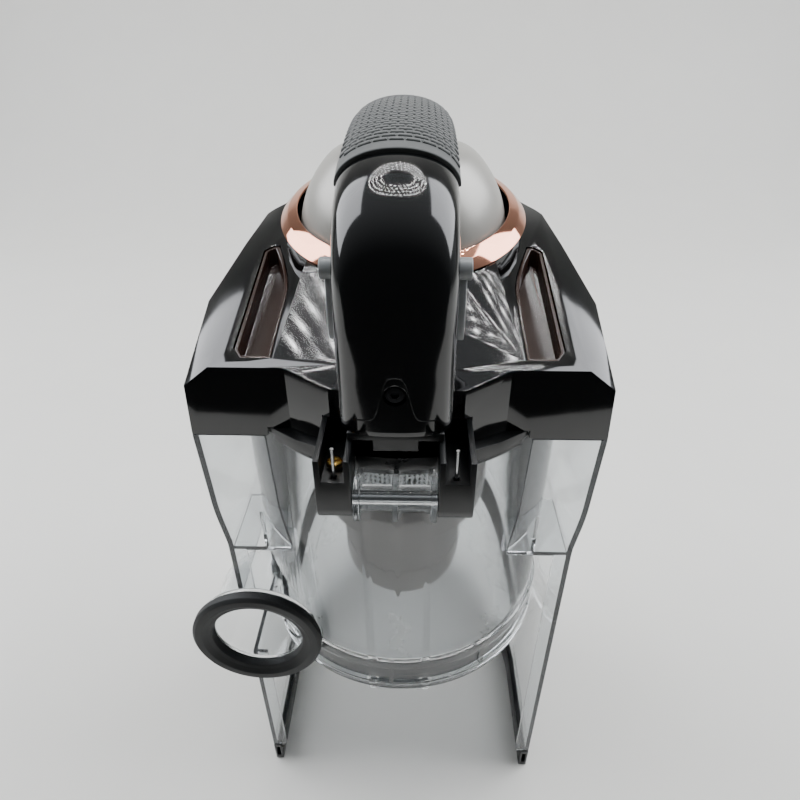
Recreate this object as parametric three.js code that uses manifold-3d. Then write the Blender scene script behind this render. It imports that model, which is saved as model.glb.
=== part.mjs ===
// Dust cup of a canister vacuum cleaner: clear cup and skirt, hinged lid with carrying handle,
// bottom door, latches, inlet port and the separator inside.
// Millimetres, +Z up, X to the right, Y towards the latch side, origin under the middle of the object.

import * as THREE from 'three';
import { LoftGeometry } from 'three/addons/geometries/LoftGeometry.js';
import { mergeVertices } from 'three/addons/utils/BufferGeometryUtils.js';
import Module from 'manifold-3d';

const wasm = await Module();
wasm.setup();

// ---------------------------------------------------------------- driving dimensions

const GAP = 0.3;            // between pieces that touch
const RUN = 0.4;            // radial running clearance of pins and slides

// cup
const CUP_R = 73;
const CUP_WALL = 2.4;
const CUP_HEIGHT = 142;
const CUP_BOTTOM = 103;     // height of the cup's foot above the floor: the motor unit's room
const CUP_TOP = CUP_BOTTOM + CUP_HEIGHT;
const CUP_AXIS_Y = CUP_R - 14.5; // the cup stands out of the skirt's open front by the rest
const CUP_FRONT_Y = CUP_AXIS_Y - CUP_R;
const RIM_PROUD = 1.9;      // the two rims at the foot of the cup stand out by this
const LOW_RIM = 5.6;        // height of the lower rim
const RIM_WINDOW = 10.4;    // height of the windows between the rims
const HIGH_RIM = 6;
const RIM_RIBS = 10;
const RIB_WIDTH = 2.2;
const RIB_TURN = 0.05;      // the ribs start this far round from the middle, in radians
const RIM_TOP = CUP_BOTTOM + LOW_RIM + RIM_WINDOW + HIGH_RIM;

// outer shell: skirt round the motor unit, corner pockets under the lid
const SHELL_X = CUP_R + 2.8; // half width of the skirt, and its radius at the back
const SHELL_WALL = 1.9;
const SHELL_BEND_X = SHELL_X + 2.7;
const SHELL_TOP_X = SHELL_X + 4.2;
const SHELL_TOP = CUP_TOP + 0.2;
const SHELL_BEND_Z = SHELL_TOP - 41.2;
const POCKET_FLOOR = SHELL_TOP - 62.4;
const POCKET_INNER_X = CUP_R - 25.3;
const POCKET_DEPTH = 36;
const EDGE_BAND = 7.5;      // width of the return along the skirt's front edges
const TRIM_HEIGHT = 15;
const TRIM_LEDGE = 4.6;     // the rail's width

// inlet port
const DUCT_R = 24;
const DUCT_WALL = 2.2;
const DUCT_MOUTH_Y = -4;
const DUCT_END_Y = 19;      // centre of the rounded end
const DUCT_FLANGE = 2.4;
const PORT_X = 7.3 - SHELL_X;
const PORT_Z = CUP_BOTTOM + DUCT_R + 2;
const GASKET_R = DUCT_R + 7;
const GASKET_BORE_R = DUCT_R - 3;
const GASKET_THICK = 6;

// lid
const LID_BOTTOM = SHELL_TOP + 0.5;
const SEAM_Z = LID_BOTTOM + 22;
const LID_X = SHELL_TOP_X;
const SEAM_X = LID_X - 1.1;
const LID_TOP_Z = SEAM_Z + 8.1; // height of the sloping top plane at the front face
const LID_SLOPE = 0.25;
const LID_WALL = 2.5;
const BULGE_X = 24;         // the front swells forward at the handle
const BULGE_ROOT_X = 41;
const BULGE = 10;
const FACET_TOP_X = SEAM_X - 10.2;
const FACET_BACK_Y = 41; // the front facets end here and the back one begins
const FACET_DROP = 2.7; // how far that corner lies under the top plane
const FACET_FADE_Y = 66; // the back facet reaches the seam here
const RECESS_X = FACET_TOP_X - 7.2;
const RECESS_FRONT_Y = 5;
const RECESS_BACK_Y = CUP_AXIS_Y + 17.5;
const RECESS_DEPTH = 8;
const COLLAR_REACH = 50;    // half width of the base's crescent collar under the front
const HOOD_X = RECESS_X - 16;
const HOOD_LEAN = 0.35;     // the hood's sides lean in by this per mm of height

// copper collar and dome
const COLLAR_R = 53.7;
const COLLAR_INNER_R = COLLAR_R - 7.9;
const COLLAR_RISE = 5.5;
const COLLAR_THICK = 1.4;
const COLLAR_Y = CUP_AXIS_Y + 23.5;
const COLLAR_Z = LID_TOP_Z + LID_SLOPE * COLLAR_Y + 11.6;
const COLLAR_TILT = 12;     // degrees, rising to the back
const DOME_R = COLLAR_INNER_R - 0.6;
const DOME_Z = COLLAR_Z - 7.9; // height of the dome's centre
const DOME_TOP = DOME_Z + 37; // and of its flattened crown
const DOME_WALL = 2.2;

// lid hinge
const HINGE_Y = CUP_FRONT_Y - 13.5;
const HINGE_Z = CUP_TOP - 5;
const PIN_R = 1.5;
const EAR_IN_X = 14.8;
const EAR_WIDTH = 12;
const EAR_OUT_X = EAR_IN_X + EAR_WIDTH;
const EAR_R = 6.5;
const EAR_BLOCK_TOP = LID_BOTTOM + 15.3;
const EAR_CHANNEL = 9;      // depth of the channel in each ear's top
const COIL_X = [EAR_IN_X + 2.5, EAR_OUT_X - 3.2]; // lid spring: a coil round the pin inside each ear
const COIL_R = 3.8;
const COIL_LEG_X = EAR_IN_X + 5.2; // with one leg up into the ear's channel
const WIRE = 1.3;
const KNUCKLE_R = 4.6;
const FLANGE_R = 8.4;
const FLANGE_THICK = 2.2;

// handle
const HANDLE_HALF_W = 19.5;
const HANDLE_THICK = 24;
const HANDLE_WALL = 4;
const FOOT_CAP = 4;
const HANDLE_FOOT_Z = EAR_BLOCK_TOP + FOOT_CAP;
const CAP_X = HANDLE_HALF_W - 3; // half width of the cap that closes the handle's foot
const HANDLE_FOOT_Y = -13.5; // centre line of the handle's foot
const FOOT_BACK_Y = HANDLE_FOOT_Y + 10;
const HANDLE_RISE = DOME_TOP - HANDLE_FOOT_Z; // the grip passes over the dome's crown
const HANDLE_REACH = COLLAR_Y + 43; // depth of the handle's back foot
const HANDLE_PATH = [       // centre line, as depth and height
  [HANDLE_FOOT_Y, HANDLE_FOOT_Z],
  [HANDLE_FOOT_Y - 0.3, HANDLE_FOOT_Z + 20],
  [HANDLE_FOOT_Y - 0.5, HANDLE_FOOT_Z + HANDLE_RISE - 34],
  [HANDLE_FOOT_Y + 2, HANDLE_FOOT_Z + HANDLE_RISE - 18],
  [-2, HANDLE_FOOT_Z + HANDLE_RISE - 6],
  [14, HANDLE_FOOT_Z + HANDLE_RISE],
  [38, HANDLE_FOOT_Z + HANDLE_RISE + 3.6],
  [HANDLE_REACH - 60, HANDLE_FOOT_Z + HANDLE_RISE + 4.6],
  [HANDLE_REACH - 36, HANDLE_FOOT_Z + HANDLE_RISE + 2.6],
  [HANDLE_REACH - 18, HANDLE_FOOT_Z + HANDLE_RISE - 4],
  [HANDLE_REACH - 7.5, HANDLE_FOOT_Z + HANDLE_RISE - 15],
  [HANDLE_REACH - 4, HANDLE_FOOT_Z + HANDLE_RISE - 24],
];
const GRIP_FROM = 0.40;     // where the rubber grip starts and ends along the handle
const GRIP_TO = 0.80;
const GRIP_THICK = 1.8;
const SCREW_Z = HANDLE_FOOT_Z + 16;
const SCREW_HEAD_R = 3.1;
const SCREW_SHANK_R = 1.6;
const TAB_Z = HANDLE_FOOT_Z + 44; // release tabs on the handle's sides
const TAB_Y = HANDLE_FOOT_Y + 5.5;
const TAB_HEIGHT = 26;
const TAB_DEPTH = 5;
const TAB_PROUD = 2.6;
const TAB_INSIDE = 6;
const TAB_KNOB_R = 3.4;
const TAB_TRAVEL = 2;

// lid latch, a lever on the lid's back wall
const LID_LATCH_Y = CUP_AXIS_Y + LID_X + 2.3; // face of the catch bar that the lever lies against
const LID_LATCH_PIVOT_Y = LID_LATCH_Y + 1.8;
const LID_LATCH_PIVOT_Z = LID_BOTTOM + 10.3;
const LID_LATCH_HALF_W = 7;
const CHEEK_THICK = 2.4;

// separator
const SEP_RING_R = CUP_R - CUP_WALL - RUN;
const SEP_RING_Z = CUP_TOP - 8;
const SCREEN_R = 44;
const SCREEN_BOTTOM = SEP_RING_Z - 51;
const TUBE_R = 35.5;
const TUBE_BOTTOM = CUP_BOTTOM + 6.5;
const TUBE_WALL = 1.8;
const VORTEX_R = 19;

// bottom door
const DOOR_R = CUP_R - 1.4;
const DOOR_TOP = CUP_BOTTOM - 2 * GAP;
const DOOR_THICK = 3;
const DOOR_HINGE_Y = CUP_FRONT_Y + 4.9;
const DOOR_HINGE_Z = DOOR_TOP - 4.4;
const DOOR_LIP_Y = CUP_AXIS_Y + DOOR_R + 0.2;
const DOOR_BARREL_R = 3.1;
const DOOR_BARREL_X = 11;
const LUG_THICK = 3.4;

// door latch and its push rod, on the back of the skirt
const SMALL_PIN_R = 1;
const LATCH_PIVOT_Y = CUP_AXIS_Y + SHELL_X + 2.9;
const LATCH_PIVOT_Z = DOOR_TOP + 9.6;
const LATCH_HALF_W = 6;
const LATCH_ARM_TOP = LATCH_PIVOT_Z + 5.5;
const ROD_HALF_W = 4.5;
const ROD_THICK = 3;
const ROD_TRAVEL = 5;
const ROD_FOOT = LATCH_ARM_TOP + ROD_TRAVEL + 0.5;
const ROD_TOP = POCKET_FLOOR - 12.8;
const PAD_HEIGHT = (ROD_TOP - ROD_FOOT) / 2; // thumb pad at the rod's top
const PAD_FOOT = ROD_TOP + 6 - PAD_HEIGHT;

const ROUND = 36;           // facets of a large circle
const SMALL = 16;           // facets of a small one

// ---------------------------------------------------------------- solids from three.js shapes

// A manifold-3d solid of a closed three.js geometry.
function solid(geometry) {
  const bare = geometry.index ? geometry.toNonIndexed() : geometry.clone();
  bare.deleteAttribute('normal');
  bare.deleteAttribute('uv');
  const merged = mergeVertices(bare, 1e-4);
  const corners = merged.index.array;
  const triangles = [];
  for (let i = 0; i < corners.length; i += 3) {
    const [a, b, c] = [corners[i], corners[i + 1], corners[i + 2]];
    if (a !== b && b !== c && c !== a) triangles.push(a, b, c);
  }
  const made = (triVerts) => new wasm.Manifold(
    new wasm.Mesh({ numProp: 3, vertProperties: merged.attributes.position.array, triVerts }));
  const first = made(new Uint32Array(triangles));
  if (first.volume() >= 0) return first;
  for (let i = 0; i < triangles.length; i += 3) {
    [triangles[i + 1], triangles[i + 2]] = [triangles[i + 2], triangles[i + 1]];
  }
  return made(new Uint32Array(triangles));
}

// The three.js geometry of a manifold-3d solid.
function geometryOf(body) {
  const mesh = body.getMesh();
  const geometry = new THREE.BufferGeometry();
  geometry.setAttribute('position', new THREE.BufferAttribute(new Float32Array(mesh.vertProperties), 3));
  geometry.setIndex(new THREE.BufferAttribute(new Uint32Array(mesh.triVerts), 1));
  const flat = geometry.toNonIndexed();
  flat.computeVertexNormals();
  return flat;
}

const joined = (...bodies) => bodies.reduce((sum, body) => sum.add(body));
const cut = (body, ...tools) => tools.reduce((rest, tool) => rest.subtract(tool), body);

// The stretch from a to b mirrored to the left or right side, low end first.
const sideways = (side, a, b) => (side > 0 ? [a, b] : [-b, -a]);

// A block between two corners.
function block([x0, x1], [y0, y1], [z0, z1]) {
  const geometry = new THREE.BoxGeometry(x1 - x0, y1 - y0, z1 - z0);
  geometry.translate((x0 + x1) / 2, (y0 + y1) / 2, (z0 + z1) / 2);
  return solid(geometry);
}

// An upright cylinder.
function upright(r, z0, z1, x = 0, y = CUP_AXIS_Y, facets = ROUND) {
  const geometry = new THREE.CylinderGeometry(r, r, z1 - z0, facets);
  geometry.rotateX(Math.PI / 2);
  geometry.translate(x, y, (z0 + z1) / 2);
  return solid(geometry);
}

// A rod that lies along X.
function rodX(r, x0, x1, y, z, facets = SMALL) {
  const geometry = new THREE.CylinderGeometry(r, r, x1 - x0, facets);
  geometry.rotateZ(Math.PI / 2);
  geometry.translate((x0 + x1) / 2, y, z);
  return solid(geometry);
}

// A rod that lies along Y.
function rodY(r, y0, y1, x, z, facets = SMALL) {
  const geometry = new THREE.CylinderGeometry(r, r, y1 - y0, facets);
  geometry.translate(x, (y0 + y1) / 2, z);
  return solid(geometry);
}

// A plan outline raised from z0 to z1.
function raised(points, z0, z1) {
  const shape = new THREE.Shape(points.map(([x, y]) => new THREE.Vector2(x, y)));
  const geometry = new THREE.ExtrudeGeometry(shape, { depth: z1 - z0, bevelEnabled: false });
  geometry.translate(0, 0, z0);
  return solid(geometry);
}

// A side outline of (depth, height) points, run across from x0 to x1.
function across(points, x0, x1) {
  const shape = new THREE.Shape(points.map(([y, z]) => new THREE.Vector2(y, z)));
  const geometry = new THREE.ExtrudeGeometry(shape, { depth: x1 - x0, bevelEnabled: false });
  geometry.applyMatrix4(new THREE.Matrix4().set(0, 0, 1, x0, 1, 0, 0, 0, 0, 1, 0, 0, 0, 0, 0, 1));
  return solid(geometry);
}

// Outlines of (x, y) points skinned from one height to the next.
function skinned(layers) {
  const sections = layers.map(({ z, points }) => points.map(([x, y]) => new THREE.Vector3(x, y, z)));
  return solid(new LoftGeometry(sections, { capStart: true, capEnd: true }));
}

// A turned ring or cap about +Z, from (radius, height) points that close on themselves or on the axis.
function turned(profile, facets = ROUND) {
  const geometry = new THREE.LatheGeometry(profile.map(([r, z]) => new THREE.Vector2(r, z)), facets);
  geometry.rotateX(Math.PI / 2);
  return geometry;
}

const parts = new THREE.Group();
const finishes = {
  clear: { color: 0xdfe4e6, roughness: 0.08, metalness: 0, transparent: true, opacity: 0.35 },
  frosted: { color: 0xb9b6b2, roughness: 0.45, metalness: 0, transparent: true, opacity: 0.6 },
  glossBlack: { color: 0x0b0c0d, roughness: 0.12, metalness: 0 },
  satinBlack: { color: 0x141516, roughness: 0.4, metalness: 0 },
  smoked: { color: 0x2a1d18, roughness: 0.1, metalness: 0 },
  copper: { color: 0xe0a78c, roughness: 0.12, metalness: 1 },
  pearl: { color: 0xb5b1a9, roughness: 0.35, metalness: 0.3 },
  rubber: { color: 0x2e302f, roughness: 0.75, metalness: 0 },
  greyPlastic: { color: 0x9a9c9d, roughness: 0.35, metalness: 0 },
  steel: { color: 0xc4c6c8, roughness: 0.25, metalness: 1 },
  brass: { color: 0xb08d3f, roughness: 0.3, metalness: 1 },
  foam: { color: 0x3a4a66, roughness: 0.95, metalness: 0 },
  felt: { color: 0xe9e6df, roughness: 0.95, metalness: 0 },
};

// Adds a piece under its name, with its finish.
function piece(name, finish, body) {
  const mesh = new THREE.Mesh(geometryOf(body), new THREE.MeshStandardMaterial(finishes[finish]));
  mesh.name = name;
  parts.add(mesh);
  return body;
}

// ---------------------------------------------------------------- outlines shared by several pieces

// Half-round back end about the cup's axis, from +X round to -X.
function roundBack(r, facets = 24) {
  const points = [];
  for (let i = 0; i <= facets; i += 1) {
    const angle = (Math.PI * i) / facets;
    points.push([r * Math.cos(angle), CUP_AXIS_Y + r * Math.sin(angle)]);
  }
  return points;
}

// The skirt's plan: straight sides, round back, square to the front at the given depth.
const skirtPlan = (halfWidth, front = 0) => [
  [halfWidth, front],
  ...roundBack(halfWidth),
  [-halfWidth, front],
];

// The lid's plan adds the swelling in front, under the handle.
const lidPlan = (halfWidth, inset) => [
  [halfWidth, inset],
  ...roundBack(halfWidth),
  [-halfWidth, inset],
  [-BULGE_ROOT_X - inset * 0.3, inset],
  [-BULGE_X + inset * 0.4, inset - BULGE],
  [BULGE_X - inset * 0.4, inset - BULGE],
  [BULGE_ROOT_X + inset * 0.3, inset],
];

const topAt = (y) => LID_TOP_Z + LID_SLOPE * y;

// Everything under the lid's sloping top, lowered by a depth.
function underTop(drop) {
  const [front, back, floor] = [-60, 250, CUP_BOTTOM];
  const top = (y) => topAt(y) - drop;
  return across([[front, floor], [back, floor], [back, top(back)], [front, top(front)]], -120, 120);
}

// ---------------------------------------------------------------- handle shapes

const handleCurve = new THREE.CatmullRomCurve3(HANDLE_PATH.map(([y, z]) => new THREE.Vector3(0, y, z)));

// Cross section of the handle: a rounded bar, as (across, outwards) points.
function handleSection(halfWidth, halfThick, side) {
  const points = [];
  const [from, to] = { whole: [0, 2], outer: [0, 1], inner: [1, 2] }[side];
  const steps = side === 'whole' ? 16 : 8;
  for (let i = 0; i < steps + (side === 'whole' ? 0 : 1); i += 1) {
    const angle = Math.PI * (from + ((to - from) * i) / steps);
    const round = (v, power) => Math.sign(v) * Math.abs(v) ** power;
    points.push([halfWidth * round(Math.cos(angle), 0.72), halfThick * round(Math.sin(angle), 0.72)]);
  }
  return points;
}

// Sweeps section points along part of the handle's centre line.
function alongHandle(points, from, to, steps) {
  const sections = [];
  for (let i = 0; i <= steps; i += 1) {
    const at = from + ((to - from) * i) / steps;
    const centre = handleCurve.getPointAt(Math.min(1, Math.max(0, at)));
    const forward = handleCurve.getTangentAt(Math.min(1, Math.max(0, at)));
    const out = new THREE.Vector3(0, -forward.z, forward.y);
    const past = at < 0 ? at : Math.max(0, at - 1);
    centre.addScaledVector(forward, past * handleCurve.getLength());
    sections.push(points.map(([x, d]) => centre.clone().addScaledVector(out, d).setX(-x)));
  }
  return solid(new LoftGeometry(sections, { capStart: true, capEnd: true }));
}

const handleWhole = (grow) => alongHandle(
  handleSection(HANDLE_HALF_W + grow, HANDLE_THICK / 2 + grow, 'whole'), -0.006, 1.012, 18);

// ---------------------------------------------------------------- cup

const skirtRoom = raised(skirtPlan(SHELL_X - SHELL_WALL - GAP, -60), 0, 300);

function cupCylinder() {
  const bore = upright(CUP_R - CUP_WALL, CUP_BOTTOM - 1, CUP_TOP + 1);
  const lowRim = upright(CUP_R + RIM_PROUD, CUP_BOTTOM, CUP_BOTTOM + LOW_RIM);
  const highZ = CUP_BOTTOM + LOW_RIM + RIM_WINDOW;
  const highRim = upright(CUP_R + RIM_PROUD, highZ, RIM_TOP);
  let wall = joined(upright(CUP_R, CUP_BOTTOM, CUP_TOP), lowRim, highRim);
  for (let i = 0; i < RIM_RIBS; i += 1) {
    const angle = (2 * Math.PI * i) / RIM_RIBS - Math.PI / 2 - RIB_TURN;
    const geometry = new THREE.BoxGeometry(RIM_PROUD + 1, RIB_WIDTH, RIM_WINDOW + 1);
    geometry.translate(CUP_R + RIM_PROUD / 2 - 0.6, 0, 0);
    geometry.rotateZ(angle);
    geometry.translate(0, CUP_AXIS_Y, CUP_BOTTOM + LOW_RIM + RIM_WINDOW / 2);
    wall = wall.add(solid(geometry));
  }
  const gasketRoom = rodY(GASKET_R + GAP, -60, DUCT_MOUTH_Y, PORT_X, PORT_Z, 36);
  wall = cut(wall.intersect(skirtRoom), gasketRoom).add(upright(CUP_R - 0.2, CUP_BOTTOM, CUP_TOP));
  const lugs = [-1, 1].map((side) => doorLug(side));
  return cut(joined(wall, knuckle(), ...lugs), bore, rodX(PIN_R + RUN, -40, 40, HINGE_Y, HINGE_Z),
    rodX(PIN_R + RUN, -40, 40, DOOR_HINGE_Y, DOOR_HINGE_Z), ductInside());
}

// Hinge knuckle: a sleeve with three round cheeks, carried on webs from the cup's wall.
function knuckle() {
  const reach = EAR_IN_X - RUN;
  let body = rodX(KNUCKLE_R, -reach, reach, HINGE_Y, HINGE_Z);
  for (const x of [-reach, -FLANGE_THICK / 2, reach - FLANGE_THICK]) {
    const cheek = rodX(FLANGE_R, x, x + FLANGE_THICK, HINGE_Y, HINGE_Z, 20);
    const web = block([x, x + FLANGE_THICK], [HINGE_Y, CUP_FRONT_Y + 3], [HINGE_Z - 6, HINGE_Z + 2.8]);
    body = joined(body, cheek, web);
  }
  return body;
}

// One of the two lugs under the cup's front rim that hold the door's hinge pin.
function doorLug(side) {
  const x0 = side > 0 ? DOOR_BARREL_X + RUN : -DOOR_BARREL_X - RUN - LUG_THICK;
  const eye = rodX(DOOR_BARREL_R, x0, x0 + LUG_THICK, DOOR_HINGE_Y, DOOR_HINGE_Z);
  const y0 = DOOR_HINGE_Y - DOOR_BARREL_R;
  const post = block([x0, x0 + LUG_THICK], [y0, DOOR_HINGE_Y], [DOOR_HINGE_Z, CUP_BOTTOM + 2]);
  return joined(eye, post);
}

// ---------------------------------------------------------------- inlet duct

// A tube along +Y from the mouth, ending in a half ball.
function ductPlug(r, mouth) {
  const ball = new THREE.SphereGeometry(r, 24, 12);
  ball.translate(PORT_X, DUCT_END_Y, PORT_Z);
  return joined(rodY(r, mouth, DUCT_END_Y, PORT_X, PORT_Z, 24), solid(ball));
}

const ductInside = () => ductPlug(DUCT_R - DUCT_WALL, DUCT_MOUTH_Y - 2);

function inletDuct() {
  const collar = rodY(GASKET_R - 2, DUCT_MOUTH_Y, DUCT_MOUTH_Y + DUCT_FLANGE, PORT_X, PORT_Z, 36);
  const outside = joined(ductPlug(DUCT_R, DUCT_MOUTH_Y), collar);
  const rims = upright(CUP_R + RIM_PROUD + GAP, CUP_BOTTOM - 20, RIM_TOP + GAP);
  const barrel = upright(CUP_R + GAP, CUP_BOTTOM - 20, CUP_TOP);
  return cut(outside, ductInside(), barrel, rims);
}

const ductRoom = joined(
  ductPlug(DUCT_R + GAP, DUCT_MOUTH_Y - 20),
  rodY(GASKET_R - 2 + GAP, DUCT_MOUTH_Y - 20, DUCT_MOUTH_Y + DUCT_FLANGE + GAP, PORT_X, PORT_Z, 36),
);

function inletGasket() {
  const [r, bore, t] = [GASKET_R, GASKET_BORE_R, GASKET_THICK];
  const ring = turned([[bore, 0], [r - 1, 0], [r, 1.5], [r, t - 2], [r - 2, t], [r - 5, t], [r - 7, t - 1.4],
    [bore + 1, t - 2.2], [bore, 0]], 32);
  ring.rotateX(Math.PI / 2);
  ring.translate(PORT_X, DUCT_MOUTH_Y - GAP, PORT_Z);
  return solid(ring);
}

// ---------------------------------------------------------------- outer shell and base trim

function outerShell() {
  const layers = (inset, front, bottom, top) => skinned([
    { z: bottom, points: skirtPlan(SHELL_X - inset, front) },
    { z: POCKET_FLOOR, points: skirtPlan(SHELL_X - inset, front) },
    { z: SHELL_BEND_Z, points: skirtPlan(SHELL_BEND_X - inset, front) },
    { z: top, points: skirtPlan(SHELL_TOP_X - inset, front) },
  ]);
  const bottom = TRIM_HEIGHT + GAP;
  const outside = layers(0, 0, bottom, SHELL_TOP);
  const inside = layers(SHELL_WALL, -20, bottom - 1, SHELL_TOP + 1);
  const wall = outside.subtract(inside);
  const bands = [-1, 1].map((side) => block(
    sideways(side, SHELL_X - EDGE_BAND, SHELL_X - 0.5), [0, SHELL_WALL], [bottom, POCKET_FLOOR + 1]));
  const pockets = [-1, 1].map((side) => {
    const reach = sideways(side, POCKET_INNER_X, SHELL_TOP_X + 5);
    const front = block(reach, [0, SHELL_WALL], [POCKET_FLOOR - SHELL_WALL, SHELL_TOP]);
    const floor = block(reach, [0, POCKET_DEPTH], [POCKET_FLOOR - SHELL_WALL, POCKET_FLOOR]);
    return joined(front, floor).intersect(outside);
  });
  const backY = CUP_AXIS_Y + SHELL_X;
  const slot = block([-LATCH_HALF_W - 1, LATCH_HALF_W + 1], [backY - 16, backY + 5],
    [DOOR_TOP - 16.4, LATCH_PIVOT_Z - 5]);
  const body = cut(joined(wall, ...bands, ...pockets), upright(CUP_R + GAP, POCKET_FLOOR - 10, SHELL_TOP + 1),
    ductRoom, slot);
  return joined(body, ...backGuides());
}

const smallPinRoom = (y, z) => rodX(SMALL_PIN_R + GAP, -20, 20, y, z, 12);

// Guides, pivot cheeks and the lid's catch on the back of the shell.
function backGuides() {
  const y0 = CUP_AXIS_Y + SHELL_X - 1;
  const guides = [-1, 1].map((side) => block(
    sideways(side, ROD_HALF_W + RUN, ROD_HALF_W + RUN + CHEEK_THICK), [y0, y0 + ROD_THICK + 2.6],
    [ROD_FOOT + 3, PAD_FOOT - ROD_TRAVEL - 2]));
  const cheeks = [-1, 1].map((side) => block(
    sideways(side, LATCH_HALF_W + RUN, LATCH_HALF_W + RUN + CHEEK_THICK), [y0, y0 + 6.5],
    [LATCH_PIVOT_Z - 4, LATCH_PIVOT_Z + 4]).subtract(smallPinRoom(LATCH_PIVOT_Y, LATCH_PIVOT_Z)));
  const catchBar = block([-9, 9], [CUP_AXIS_Y + SHELL_TOP_X - 1.6, LID_LATCH_Y],
    [SHELL_TOP - 11, SHELL_TOP - 7]);
  return [...guides, ...cheeks, catchBar];
}

function baseTrim() {
  const outside = raised(skirtPlan(SHELL_X, -0.6), 0, TRIM_HEIGHT);
  const ledge = raised(skirtPlan(SHELL_X - TRIM_LEDGE, -2), -1, TRIM_HEIGHT + 1);
  return outside.subtract(ledge);
}

// ---------------------------------------------------------------- separator

// Seat ring on which the separator hangs in the cup's mouth.
function separatorRing() {
  const plate = upright(SEP_RING_R, SEP_RING_Z, SEP_RING_Z + 3);
  const lip = upright(SEP_RING_R, SEP_RING_Z + 3, CUP_TOP - 1).subtract(
    upright(SEP_RING_R - 2, SEP_RING_Z, CUP_TOP));
  return cut(joined(plate, lip), upright(VORTEX_R + GAP, SEP_RING_Z - 1, SEP_RING_Z + 6));
}

function separatorScreen() {
  return upright(SCREEN_R, SCREEN_BOTTOM, SEP_RING_Z - GAP).subtract(
    upright(SCREEN_R - 1.4, SCREEN_BOTTOM - 1, SEP_RING_Z));
}

// Skirted plate that closes the screen's foot and carries the dust tube.
function separatorSkirt() {
  const plate = upright(SCREEN_R + 5, SCREEN_BOTTOM - 3 - GAP, SCREEN_BOTTOM - GAP);
  const drop = upright(SCREEN_R + 5, SCREEN_BOTTOM - 12, SCREEN_BOTTOM - 3 - GAP).subtract(
    upright(SCREEN_R + 3.4, SCREEN_BOTTOM - 13, SCREEN_BOTTOM - 3));
  return cut(joined(plate, drop), upright(VORTEX_R + 4.5 + GAP, SCREEN_BOTTOM - 14, SCREEN_BOTTOM + 1));
}

// Fine dust tube: a straight wall with a bowl-shaped foot.
function dustTube() {
  const top = SCREEN_BOTTOM - 3 - 2 * GAP;
  const bowl = 12;
  const [r, w] = [TUBE_R, TUBE_WALL];
  const ring = turned([
    [0, TUBE_BOTTOM], [r - 14, TUBE_BOTTOM + 0.8], [r - 5, TUBE_BOTTOM + 4], [r, TUBE_BOTTOM + bowl],
    [r, top],
    [r - w, top], [r - w, TUBE_BOTTOM + bowl + 1], [r - w - 4.6, TUBE_BOTTOM + 5.6],
    [r - 14, TUBE_BOTTOM + 2.8], [0, TUBE_BOTTOM + 2],
  ]);
  ring.translate(0, CUP_AXIS_Y, 0);
  return solid(ring);
}

function vortexTube() {
  return upright(VORTEX_R, SCREEN_BOTTOM + 8, SEP_RING_Z + 4).subtract(
    upright(VORTEX_R - 1.6, SCREEN_BOTTOM + 7, SEP_RING_Z + 5));
}

function dustCone() {
  const [top, foot] = [SCREEN_BOTTOM - GAP, TUBE_BOTTOM + 32.5];
  const cone = turned([[10, foot], [VORTEX_R + 4.5, top], [VORTEX_R + 3, top], [8.5, foot], [10, foot]]);
  cone.translate(0, CUP_AXIS_Y, 0);
  return solid(cone);
}

// ---------------------------------------------------------------- bottom door

function bottomDoor() {
  const z0 = DOOR_TOP - DOOR_THICK;
  const plate = upright(DOOR_R, z0, DOOR_TOP);
  const notch = block([-DOOR_BARREL_X - LUG_THICK - 2, DOOR_BARREL_X + LUG_THICK + 2],
    [-30, DOOR_HINGE_Y + DOOR_BARREL_R + 0.8], [z0 - 1, DOOR_TOP + 1]);
  const barrel = rodX(DOOR_BARREL_R, -DOOR_BARREL_X, DOOR_BARREL_X, DOOR_HINGE_Y, DOOR_HINGE_Z);
  const strap = block([-DOOR_BARREL_X, DOOR_BARREL_X], [DOOR_HINGE_Y, DOOR_HINGE_Y + 9],
    [DOOR_HINGE_Z - 1, z0 + 1.6]);
  const lip = block([-LATCH_HALF_W, LATCH_HALF_W], [CUP_AXIS_Y + DOOR_R - 5.6, DOOR_LIP_Y], [z0, DOOR_TOP]);
  const dish = upright(DOOR_R - 12, DOOR_TOP - 1.2, DOOR_TOP + 1);
  const pinRoom = rodX(PIN_R + RUN, -40, 40, DOOR_HINGE_Y, DOOR_HINGE_Z);
  return cut(joined(plate.subtract(notch), barrel, strap, lip), pinRoom, dish);
}

function doorGasket() {
  const r = CUP_R - CUP_WALL - RUN;
  const z = DOOR_TOP + GAP;
  const top = CUP_BOTTOM + LOW_RIM + RIM_WINDOW;
  const ring = turned([[r - 2.6, z], [r, z], [r, top], [r - 1.6, top], [r - 2.6, z]]);
  ring.translate(0, CUP_AXIS_Y, 0);
  return solid(ring);
}

// Lever that hooks under the door's lip through the slot in the shell.
function doorLatch() {
  const foot = DOOR_TOP - DOOR_THICK - GAP;
  const y = LATCH_PIVOT_Y;
  const arm = across([
    [y - 0.8, LATCH_ARM_TOP], [y + 2.2, LATCH_ARM_TOP], [y + 2.2, foot - 3],
    [DOOR_LIP_Y + RUN, foot - 1], [DOOR_LIP_Y + RUN, foot + 2.6], [y - 2.2, foot + 5],
    [y - 2.2, LATCH_PIVOT_Z],
  ], -LATCH_HALF_W, LATCH_HALF_W);
  return arm.subtract(smallPinRoom(y, LATCH_PIVOT_Z));
}

function pushRod() {
  const y0 = CUP_AXIS_Y + SHELL_X + GAP;
  const bar = block([-ROD_HALF_W, ROD_HALF_W], [y0, y0 + ROD_THICK], [ROD_FOOT, ROD_TOP]);
  const pad = block([-11, 11], [y0, y0 + 5.4], [PAD_FOOT, ROD_TOP + 6]);
  return joined(bar, pad);
}

// ---------------------------------------------------------------- lid

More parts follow.
